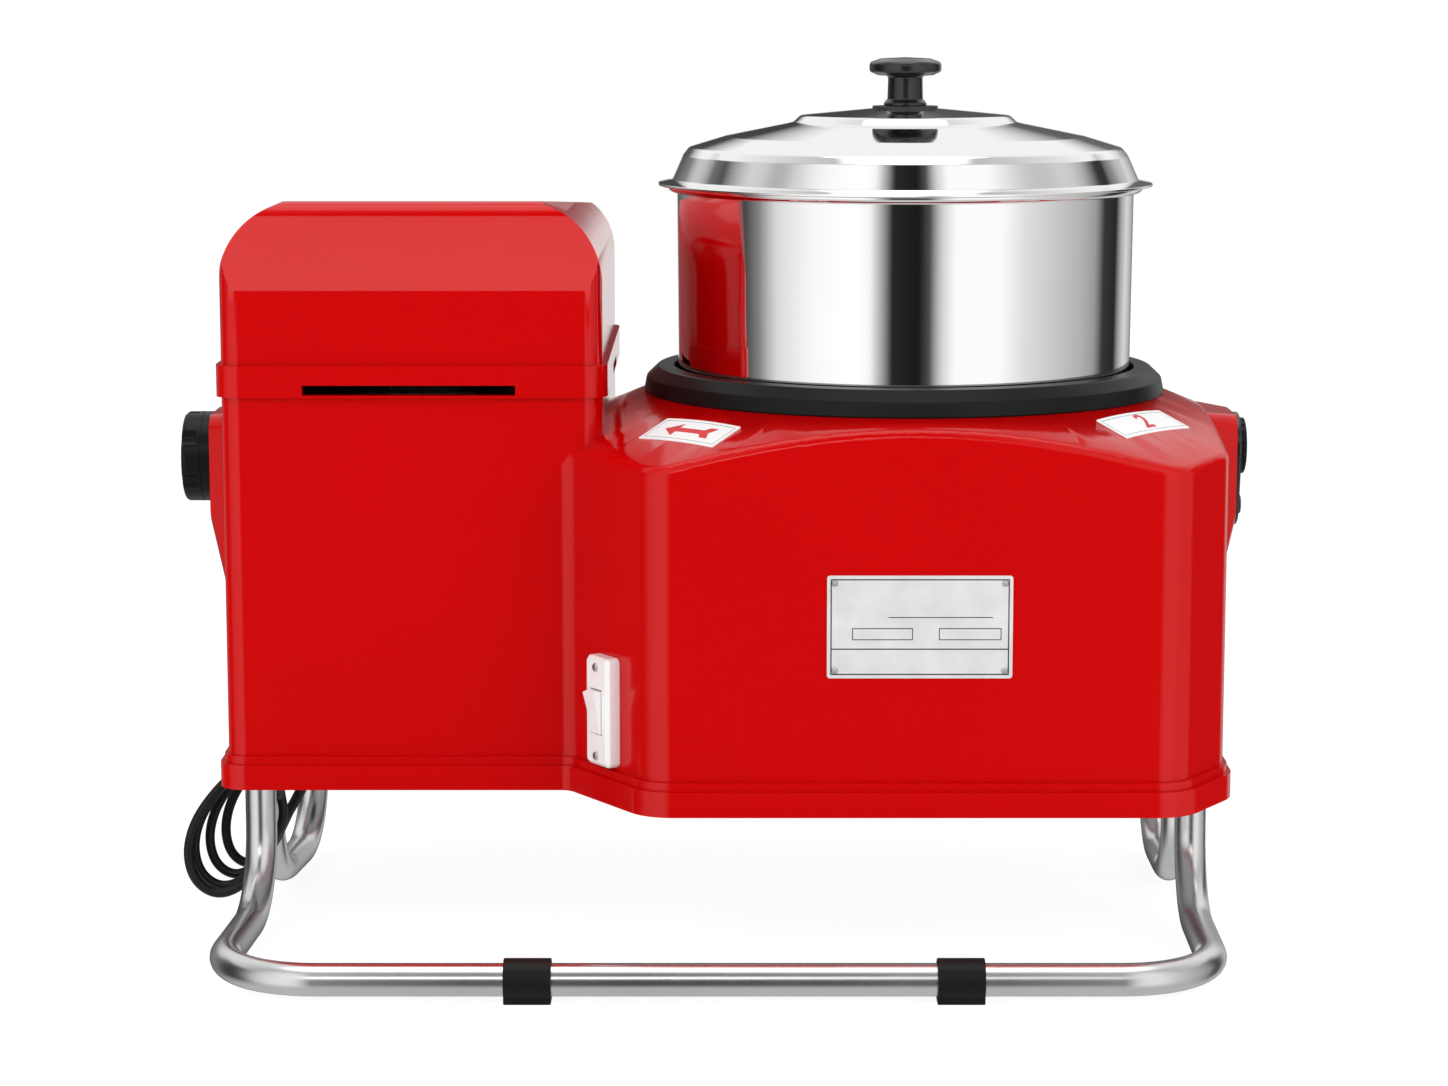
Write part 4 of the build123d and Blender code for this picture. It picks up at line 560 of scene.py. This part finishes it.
def arc_line(corners, closed=True, steps=6):
    """Outline through (across, up, radius) corners in millimetres, each corner an arc."""
    line = []
    for number, (across, up, bend) in enumerate(corners):
        at = Vector((across, up))
        if not bend or (not closed and number in (0, len(corners) - 1)):
            line.append(at)
            continue
        back = (Vector(corners[number - 1][:2]) - at).normalized()
        ahead = (Vector(corners[(number + 1) % len(corners)][:2]) - at).normalized()
        half = back.angle(ahead) / 2
        start, end = at + back * (bend / tan(half)), at + ahead * (bend / tan(half))
        middle = at + (back + ahead).normalized() * (bend / sin(half))
        for step in range(steps + 1):
            spoke = (start - middle).lerp(end - middle, step / steps).normalized() * bend
            line.append(middle + spoke)
    return line


def spun(name, line, body, material, replaced, closed=True, at=(drum_x, drum_y)):
    """A turned piece from its half outline, about an upright axis."""
    on_axis = 0.01
    sharp = radians(40)
    shape = bmesh.new()
    rings = []
    for point in line:
        if point.x < on_axis:
            rings.append([shape.verts.new((at[0], at[1], point.y * mm))] * turn_steps)
            continue
        rings.append([shape.verts.new((at[0] + point.x * mm * cos(2 * pi * step / turn_steps),
                                       at[1] + point.x * mm * sin(2 * pi * step / turn_steps), point.y * mm))
                      for step in range(turn_steps)])
    pairs = list(zip(rings, rings[1:])) + ([(rings[-1], rings[0])] if closed else [])
    for low, high in pairs:
        for step in range(turn_steps):
            after = (step + 1) % turn_steps
            around = list(dict.fromkeys((low[step], low[after], high[after], high[step])))
            if len(around) > 2:
                shape.faces.new(around)
    bmesh.ops.recalc_face_normals(shape, faces=shape.faces)
    for border in shape.edges:
        border.smooth = border.calc_face_angle(0) < sharp
    for side in shape.faces:
        side.smooth = True
    made = mesh_piece(shape, name, material)
    weigh = made.modifiers.new("even_light", "WEIGHTED_NORMAL")
    weigh.keep_sharp = True
    weigh.weight = 90
    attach(made, body)
    if replaced:
        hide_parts(*replaced)
    return made


def polished(name, dark, pale, roughness, ring_scale):
    """Stainless sheet polished on a turning wheel: faint rings about the drum's axis."""
    material, graph = new_finish(name)
    x, y, z = graph.split(graph.here())
    out = ((x - drum_x) ** 2 + (y - drum_y) ** 2) ** 0.5
    reach = graph.add("ShaderNodeCombineXYZ", {"X": out, "Y": z, "Z": 0.0})
    rings = graph.add("ShaderNodeTexNoise", {"Vector": reach, "Scale": ring_scale, "Detail": 3.0})
    haze = graph.noise(9, 3)
    graph.surface(graph.blend(haze, dark, pale), roughness + rings * 0.04 + haze * 0.02,
                  graph.bump(rings, 0.000004), metallic=1.0)
    return material


mirror_steel = polished("mirror_steel", (0.90, 0.90, 0.895), (0.96, 0.96, 0.955), 0.02, 900)
drum_line = arc_line([
    (13.8, 283, 0), (138.5, 283, 12), (139.9, 444.6, 0.6), (142.2, 444.5, 0.3), (145.6, 444.5, 3.3),
    (145.6, 451.3, 3.3), (138.8, 451.3, 3.3), (138.7, 444.6, 0), (137.3, 284.2, 10.8), (15, 284.2, 1.0),
    (15, 345, 0.4), (13.8, 345, 0.4)])
spun("drum_skin", drum_line, "drum", mirror_steel, ["drum"])
dress("centre_post", bearing_steel)


# Stones: ground granite, a ring on the drum's floor and two rollers on their pins. The
# crystals are pale feldspar and black mica in grey quartz, a millimetre or two across.
granite, graph = new_finish("ground_granite")
grain_place = graph.here()
cells = graph.add("ShaderNodeTexVoronoi", {"Vector": grain_place, "Scale": 620.0}, output="Color")
crystals = graph.split(cells)[0]
veins = graph.noise(240, 5, roughness=0.7)
pale_share = crystals.ramp((0.0, 0.0), (0.55, 0.25), (0.72, 1.0))
stone = graph.blend(pale_share, (0.19, 0.19, 0.20), (0.50, 0.49, 0.48))
stone = graph.blend(veins.over(0.60), stone, (0.045, 0.045, 0.05))
graph.surface(stone, 0.55 + crystals * 0.25, graph.bump(crystals, 0.00012))
for node, body in (("base_stone", "drum"), ("roller_stone_left", "roller_left"),
                   ("roller_stone_right", "roller_right")):
    recast(node, body, granite, node + "_ground", sharp=40)
dress("roller_holder", cast_metal)


# Collar: a black moulded ring that lies on the roof's land and closes the gap round the
# drum, with a rolled outer edge and a thin lip that points at the steel.
satin_black, graph = new_finish("satin_black")
skin = graph.noise(950, 2)
wear = graph.noise(22, 3)
graph.surface(graph.blend(wear, (0.004, 0.004, 0.004), (0.010, 0.010, 0.010)),
              0.26 + skin * 0.10 + wear * 0.06, graph.bump(skin, 0.00003), specular_ior_level=0.16)
collar_line = arc_line([
    (141.6, 337.6, 0.3), (142.2, 338.3, 0.3), (151.5, 338.0, 2.5), (158.4, 331.5, 2.0), (160.0, 323.4, 1.0),
    (159.6, 322.42, 0.3), (147.7, 322.42, 0), (147.7, 315.4, 0.5), (143.7, 315.4, 0.5), (141.6, 322.4, 1.0)])
spun("collar_ring", collar_line, "case", satin_black, ["drum_collar"])


# Lid: spun stainless sheet with a turned rim, a steep shoulder, a flat slope and a raised
# crown. The black knob is moulded, and a screw from below holds it over a washer.
lid_z = 449.1
lid_steel = polished("lid_steel", (0.90, 0.90, 0.895), (0.96, 0.96, 0.955), 0.03, 1400)
lid_line = arc_line([
    (3.4, lid_z + 45.7, 0), (20, lid_z + 45.7, 6), (64.0, lid_z + 41.6, 5), (68.5, lid_z + 37.4, 2.2),
    (73.0, lid_z + 36.4, 3), (110, lid_z + 29.0, 12), (132.5, lid_z + 22.2, 5.0),
    (136.2, lid_z + 17.5, 3.0), (142.9, lid_z + 2.6, 2.2), (151.1, lid_z + 0.9, 0.5),
    (151.6, lid_z - 0.6, 0.6), (150.6, lid_z - 0.7, 0.3), (142.4, lid_z + 1.4, 1.4),
    (135.2, lid_z + 17.2, 2.4), (132.0, lid_z + 21.0, 4.0), (110, lid_z + 27.8, 12),
    (73.0, lid_z + 35.2, 3), (67.9, lid_z + 36.3, 1.6), (63.5, lid_z + 40.4, 5), (20, lid_z + 44.5, 6),
    (3.4, lid_z + 44.5, 0)])
spun("lid_sheet", lid_line, "lid", lid_steel, ["lid"])
dress("knob_fixings", thermoset)
knob_low = lid_z + 47.2
knob_black, graph = new_finish("knob_black")
haze = graph.noise(40, 2)
graph.surface(graph.blend(haze, (0.006, 0.006, 0.006), (0.012, 0.012, 0.012)), 0.22 + haze * 0.08,
              coat_weight=0.3, coat_roughness=0.1)
knob_line = arc_line([
    (0, knob_low, 0), (13.2, knob_low, 0.6), (13.0, knob_low + 1.8, 0.8), (10.9, knob_low + 4.2, 2.0),
    (10.5, knob_low + 18.0, 1.6), (17.0, knob_low + 18.6, 2.0), (22.0, knob_low + 20.8, 2.2),
    (22.0, knob_low + 26.4, 3.0), (15.0, knob_low + 28.8, 8.0), (0, knob_low + 29.5, 0)])
spun("knob_turning", knob_line, "lid", knob_black, ["lid_knob"], closed=False)


# Holder, wiper and nut inside the drum: a cast block on the post carries the roller pins,
# a white wiper keeps the wall clear, and a lobed black nut clamps the block.
white_plastic, graph = new_finish("white_plastic")
milk = graph.noise(30, 2)
graph.surface(graph.blend(milk, (0.88, 0.88, 0.88), (0.93, 0.93, 0.93)), 0.26 + milk * 0.08,
              coat_weight=0.2, coat_roughness=0.12)
dress("wiper_blade", white_plastic)
recast("holder_nut", "case", satin_black, "holder_nut_moulding", sharp=30, edge=0.5 * mm)


# Motor cover: the same gloss red, a tall cap with a leaning front, rolled shoulders and a
# proud band that drops over the case's edge. A long slot above the joint lets air in.
cover_crease_z = 0.391
recast("top_cover", "case", gloss_red, "red_cover",
       sharp=34, edge=1.0 * mm, crease_z=cover_crease_z)


# Ends: a ribbed black cap over the side drive, and at the right a pear-shaped control plate
# with a notched dial above an overload button.
recast("port_cap", "cap", satin_black, "drive_cap", sharp=30, edge=0.7 * mm)
recast("control_plate", "case", knob_black, "pear_plate", sharp=30, edge=0.3 * mm)
recast("control_knob", "dial", satin_black, "notched_dial", sharp=30, edge=0.4 * mm)
recast("reset_button", "reset", knob_black, "overload_button", sharp=30, edge=0.4 * mm)


# Switch: a white moulded plate with bevelled edges, screwed flush to the case's slanted face,
# and its rocker, a moulded key that tips on a pin through its middle.
recast("switch_plate", "case", white_plastic, "switch_cover", sharp=20, edge=0.9 * mm)
slant = radians(57.35)
slant_out = Vector((-sin(slant), -cos(slant), 0))
slant_along = Vector((cos(slant), -sin(slant), 0))
pivot = Vector(next(joint["pos_m"] for joint in frame["joints"] if joint["name"] == "switch_rock")) / mm
rocker_lean = radians(10)
rocker_half = 6.0
rocker_line = arc_line([
    (-12.3, 3.6, 0.5), (0, 2.5, 30), (12.3, 3.6, 0.5), (12.9, 0.0, 3.0), (12.3, -3.6, 3.0), (10.8, -6.6, 1.0),
    (-10.8, -6.6, 1.0), (-12.3, -3.6, 3.0), (-12.9, 0.0, 3.0)], steps=4)


def on_rocker(across, point):
    """A place on the leaning key, from its outline's point and its distance along the pin."""
    up = point.x * cos(rocker_lean) - point.y * sin(rocker_lean)
    out = point.x * sin(rocker_lean) + point.y * cos(rocker_lean)
    return (pivot + slant_along * across + Vector((0, 0, up)) + slant_out * out) * mm


shape = bmesh.new()
cheeks = [[shape.verts.new(on_rocker(across, point)) for point in rocker_line]
          for across in (-rocker_half, rocker_half)]
shape.faces.new(cheeks[0])
shape.faces.new(cheeks[1][::-1])
for step in range(len(rocker_line)):
    after = (step + 1) % len(rocker_line)
    shape.faces.new((cheeks[0][step], cheeks[0][after], cheeks[1][after], cheeks[1][step]))
bmesh.ops.recalc_face_normals(shape, faces=shape.faces)
for side in shape.faces:
    side.smooth = True
rocker_key = mesh_piece(shape, "rocker_key", white_plastic)
rocker_ease = rocker_key.modifiers.new("eased_edges", "BEVEL")
rocker_ease.width = 0.4 * mm
rocker_ease.segments = 2
rocker_ease.limit_method = "ANGLE"
rocker_ease.angle_limit = radians(50)
rocker_key.modifiers.new("even_light", "WEIGHTED_NORMAL").weight = 80
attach(rocker_key, "rocker")
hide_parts("switch_rocker")


# Screws: zinc-plated pan heads with a cross, two in the switch plate, nine up through the
# skirt's flange into the base plate, and two behind through the cover's band.
def screw_tree():
    """Geometry nodes that set one head on every point, facing along the point's own direction."""
    graph, wire = open_tree("set_heads", [("Head", "Object"), ("Size", "Float")])
    head = graph.add("GeometryNodeObjectInfo", {"Object": wire["Head"]}, output="Geometry")
    facing = graph.add("GeometryNodeInputNamedAttribute", {"Name": "facing"}, data_type="FLOAT_VECTOR")
    turned = graph.add("FunctionNodeAlignRotationToVector", {"Vector": facing}, axis="Z")
    placed = graph.add("GeometryNodeInstanceOnPoints", {"Points": wire["Geometry"], "Instance": head,
                                                        "Rotation": turned})
    scaled = graph.add("GeometryNodeScaleInstances", {"Instances": placed, "Scale": wire["Size"]})
    return close_tree(graph, scaled, wire["Finish"])


def head_shape(name, line, cross):
    """A unit head, one across its radius, domed along +Z, with a cross cut in it where asked."""
    sides = 40
    slot_long, slot_wide, slot_deep = 1.3, 0.26, 0.7
    shape = bmesh.new()
    rings = [[shape.verts.new((r * cos(2 * pi * n / sides), r * sin(2 * pi * n / sides), z))
              for n in range(sides)] for r, z in line]
    for low, high in zip(rings, rings[1:]):
        for n in range(sides):
            shape.faces.new((low[n], low[(n + 1) % sides], high[(n + 1) % sides], high[n]))
    shape.faces.new(rings[-1])
    shape.faces.new(rings[0][::-1])
    for side in shape.faces:
        side.smooth = True
    made = mesh_piece(shape, name, zinc)
    if cross:
        cutters = []
        for across, along in ((slot_wide, slot_long), (slot_long, slot_wide)):
            box = bmesh.new()
            bmesh.ops.create_cube(box, size=1)
            bmesh.ops.scale(box, vec=(across, along, slot_deep), verts=box.verts)
            bmesh.ops.translate(box, vec=(0, 0, line[-1][1]), verts=box.verts)
            cutter = mesh_piece(box, "cross", zinc)
            cut = made.modifiers.new("cut", "BOOLEAN")
            cut.object = cutter
            cut.operation = "DIFFERENCE"
            cut.solver = "EXACT"
            cutters.append(cutter)
        mesh = plain_mesh(made)
        made.modifiers.clear()
        made.data = mesh
        for cutter in cutters:
            bpy.data.objects.remove(cutter)
    return made


def set_heads(name, places, head, radius, replaced):
    """Heads of one size at (place, facing) in millimetres, as one mesh."""
    mesh = bpy.data.meshes.new("places")
    mesh.from_pydata([Vector(place) * mm for place, facing in places], [], [])
    way = mesh.attributes.new("facing", "FLOAT_VECTOR", "POINT")
    for number, (place, facing) in enumerate(places):
        way.data[number].vector = facing
    source = into_scene("places", mesh)
    made = settle(source, heads_tree, {"Head": head, "Size": radius * mm, "Finish": zinc}, name)
    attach(made, "case")
    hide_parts(replaced)


heads_tree = screw_tree()
pan_line = [(0.94, 0.0), (1.0, 0.10), (1.0, 0.26), (0.90, 0.44), (0.66, 0.58), (0.3, 0.66), (0.05, 0.67)]
dome_line = [(1.0, 0.0), (0.97, 0.16), (0.86, 0.36), (0.66, 0.54), (0.36, 0.66), (0.05, 0.70)]
pan_head = head_shape("pan_head", pan_line, True)
rivet_head = head_shape("rivet_head", dome_line, False)
switch_screw_up, switch_screw_r = 26.5, 2.5
switch_places = [(pivot + Vector((0, 0, way * switch_screw_up)), slant_out) for way in (-1, 1)]
set_heads("switch_plate_screws", switch_places, pan_head, switch_screw_r, "switch_screws")
case_screw_r = 3.8
base_screw_z = 107.0
cover_screw_y, cover_screw_z = 173.0, 337.5
base_places = [
    (-401.3, -93), (-401.3, 132), (-296, 162), (-182.8, 162), (148, 162), (178, -94.1), (129.4, -167),
    (-121.4, -167), (-296, -93)]
screw_places = [((x + drum_x / mm, y + drum_y / mm, base_screw_z), (0, 0, -1)) for x, y in base_places]
screw_places += [((x + drum_x / mm, cover_screw_y + drum_y / mm, cover_screw_z), (0, 1, 0))
                 for x in (-371.3, -220.8)]
set_heads("case_screw_heads", screw_places, pan_head, case_screw_r, "case_screws")


# Name plate: satin aluminium, printed in black with a border, two rules and two blank
# fields, and held to the front by four domed rivets.
plate_alloy, graph = new_finish("plate_alloy")
satin = graph.noise(40, 3, (30, 1, 1))
blotch = graph.noise(60, 3)
graph.surface(graph.blend(blotch, (0.62, 0.62, 0.63), (0.86, 0.86, 0.86)), 0.34 + satin * 0.14,
              graph.bump(satin, 0.00002), metallic=0.15)
ink_black, graph = new_finish("ink_black")
dot = graph.noise(2000, 1)
graph.surface(graph.blend(dot, (0.01, 0.01, 0.01), (0.03, 0.03, 0.03)), 0.5)
recast("name_plate", "case", plate_alloy, "maker_plate", sharp=30, edge=0.2 * mm)
plate_x, plate_z = 2.0 + drum_x / mm, 203.6
plate_front = -175.8 + drum_y / mm
rivet_r, rivet_across, rivet_up = 1.9, 49, 25.5
rivet_places = [((plate_x + x * rivet_across, plate_front, plate_z + z * rivet_up), (0, -1, 0))
                for x in (-1, 1) for z in (-1, 1)]
set_heads("plate_rivets", rivet_places, rivet_head, rivet_r, "name_plate_rivets")


def printed_bars(name, bars, spot, material, film=0.06, step=4):
    """Thin printed bars, each (left, low, right, high), laid on a surface by its own mapping."""
    shape = bmesh.new()
    for left, low, right, high in bars:
        across = max(1, round((right - left) / step))
        layers = []
        for level in (0.0, film):
            layers.append([[shape.verts.new(spot(left + (right - left) * n / across, v, level))
                            for n in range(across + 1)] for v in (low, high)])
        (foot_low, foot_high), (top_low, top_high) = layers
        for n in range(across):
            shape.faces.new((top_low[n], top_low[n + 1], top_high[n + 1], top_high[n]))
            shape.faces.new((foot_low[n + 1], foot_low[n], foot_high[n], foot_high[n + 1]))
            shape.faces.new((foot_low[n], foot_low[n + 1], top_low[n + 1], top_low[n]))
            shape.faces.new((top_high[n], top_high[n + 1], foot_high[n + 1], foot_high[n]))
        shape.faces.new((foot_low[0], top_low[0], top_high[0], foot_high[0]))
        shape.faces.new((foot_high[-1], top_high[-1], top_low[-1], foot_low[-1]))
    bmesh.ops.recalc_face_normals(shape, faces=shape.faces)
    made = mesh_piece(shape, name, material)
    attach(made, "case")
    return made


def frame_bars(left, low, right, high, thick):
    """The four bars of a ruled box."""
    foot, head = low + thick, high - thick
    return [(left, low, right, foot), (left, head, right, high),
            (left, foot, left + thick, head), (right - thick, foot, right, head)]


def on_plate(across, up, level):
    """A place on the name plate's face."""
    return Vector((plate_x + across, plate_front - level, plate_z + up)) * mm


border_thick, field_thick = 0.7, 0.5
plate_bars = frame_bars(-51.5, -28, 51.5, 28, border_thick)
plate_bars += frame_bars(-39, -7.6, -4, -0.6, field_thick)
plate_bars += frame_bars(11, -7.6, 47, -0.6, field_thick)
plate_bars += [(-50.8, -13.2, 50.8, -12.5), (-18, 5.4, 42, 5.9)]
printed_bars("plate_rules", plate_bars, on_plate, ink_black)


# Roof labels: white vinyl film laid on the cone, one with a thin grey border and a red arrow
# for the drum's turn, the other with the same border and a plain figure.
label_film, graph = new_finish("label_film")
film = graph.noise(25, 2)
graph.surface(graph.blend(film, (0.88, 0.88, 0.88), (0.94, 0.94, 0.94)), 0.28 + film * 0.1)
ink_red, graph = new_finish("ink_red")
dot = graph.noise(1500, 1)
graph.surface(graph.blend(dot, (0.60, 0.004, 0.006), (0.68, 0.008, 0.010)), 0.4)
ink_grey, graph = new_finish("ink_grey")
dot = graph.noise(1500, 1)
graph.surface(graph.blend(dot, (0.28, 0.28, 0.29), (0.36, 0.36, 0.37)), 0.45)
dress("roof_labels", label_film)


land_z, land_r = 322.4, 160
roof_fall = 0.4
film_top = 0.5


def on_roof(angle, reach):
    """A mapping of (across, up) on a label to its place on the coned roof."""
    turn = radians(angle)

    def spot(across, up, level):
        out_by = reach - up
        x = out_by * cos(turn) - across * sin(turn)
        y = out_by * sin(turn) + across * cos(turn)
        z = land_z - roof_fall * max(0.0, hypot(x, y) - land_r) + film_top + level
        return Vector((x + drum_x / mm, y + drum_y / mm, z)) * mm
    return spot


arrow_spot = on_roof(-134.6, 186.5)
figure_spot = on_roof(-40.6, 178.5)
margin, hairline = 2.2, 0.45
for name, spot, long, wide in (("arrow_border", arrow_spot, 61, 24), ("figure_border", figure_spot, 66, 22)):
    across, up = long / 2 - margin, wide / 2 - margin
    printed_bars(name, frame_bars(-across, -up, across, up, hairline), spot, ink_grey)


def print_shape(name, outline_sets, spot, material, film=0.07):
    """Flat printed shapes from outlines of (across, up) points, as thin closed prisms."""
    shape = bmesh.new()
    for outline in outline_sets:
        foot = [shape.verts.new(spot(u, v, 0.0)) for u, v in outline]
        top = [shape.verts.new(spot(u, v, film)) for u, v in outline]
        shape.faces.new(top)
        shape.faces.new(foot[::-1])
        for n in range(len(outline)):
            after = (n + 1) % len(outline)
            shape.faces.new((foot[n], foot[after], top[after], top[n]))
    bmesh.ops.recalc_face_normals(shape, faces=shape.faces)
    made = mesh_piece(shape, name, material)
    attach(made, "case")


arrow_head = [(-20, 0), (-9.5, 6.6), (-9.5, 2.2), (-9.5, -2.2), (-9.5, -6.6)]
arrow_shaft = [(-9.5, 2.2), (-9.5, -2.2), (3, -2.2), (10, -2.2), (10, 2.2), (3, 2.2)]
arrow_tail = [(10, 2.2), (10, -2.2), (13, -5.4), (19, -5.4), (15.4, 0), (19, 5.4), (13, 5.4)]
print_shape("turn_arrow", [arrow_head, arrow_shaft, arrow_tail], arrow_spot, ink_red)
figure_half_thick = 0.035
figure_data = bpy.data.curves.new("figure", "FONT")
figure_data.body = "2"
figure_data.size = 20 * mm
figure_data.offset = 0.45 * mm
figure_data.shear = 0.25
figure_data.align_x = "CENTER"
figure_data.align_y = "CENTER"
figure_data.extrude = figure_half_thick * mm
figure_text = into_scene("figure", figure_data)
figure_mesh = plain_mesh(figure_text)
bpy.data.objects.remove(figure_text)
for vertex in figure_mesh.vertices:
    across, up, level = vertex.co / mm
    vertex.co = figure_spot(across, up, level + figure_half_thick)
figure_mesh.materials.clear()
figure_mesh.materials.append(ink_red)
capacity_figure = into_scene("capacity_figure", figure_mesh)
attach(capacity_figure, "case")


# Plug and strain relief: a black moulded two-pin plug, its brass pins here in the same black
# as the lead, and a ribbed tapered sleeve where the lead comes out of its gland.
recast("plug", "case", sheath, "mains_plug", sharp=30, edge=0.5 * mm)
relief_top, relief_bore_r = 97.0, 3.02
relief_long = 22.0
relief_ribs = 7
rib_r, groove_r = 5.4, 4.5
rib_taper, groove_taper = 1.9, 1.1
rib_steps, groove_steps = (0.0, 0.6), (0.7, 0.95)
relief_points = []
for rib in range(relief_ribs):
    for step in rib_steps:
        down = (rib + step) / relief_ribs
        relief_points.append((rib_r - rib_taper * down, down))
    for step in groove_steps:
        down = (rib + step) / relief_ribs
        relief_points.append((groove_r - groove_taper * down, down))
relief_line = [Vector((relief_bore_r, relief_top))]
relief_line += [Vector((r, relief_top - relief_long * down)) for r, down in relief_points]
relief_line.append(Vector((relief_bore_r, relief_top - relief_long)))
spun("strain_relief", relief_line, "case", thermoset, [], at=(cord_exit[0], cord_exit[1]))
for helper in (pan_head, rivet_head):
    bpy.data.objects.remove(helper)
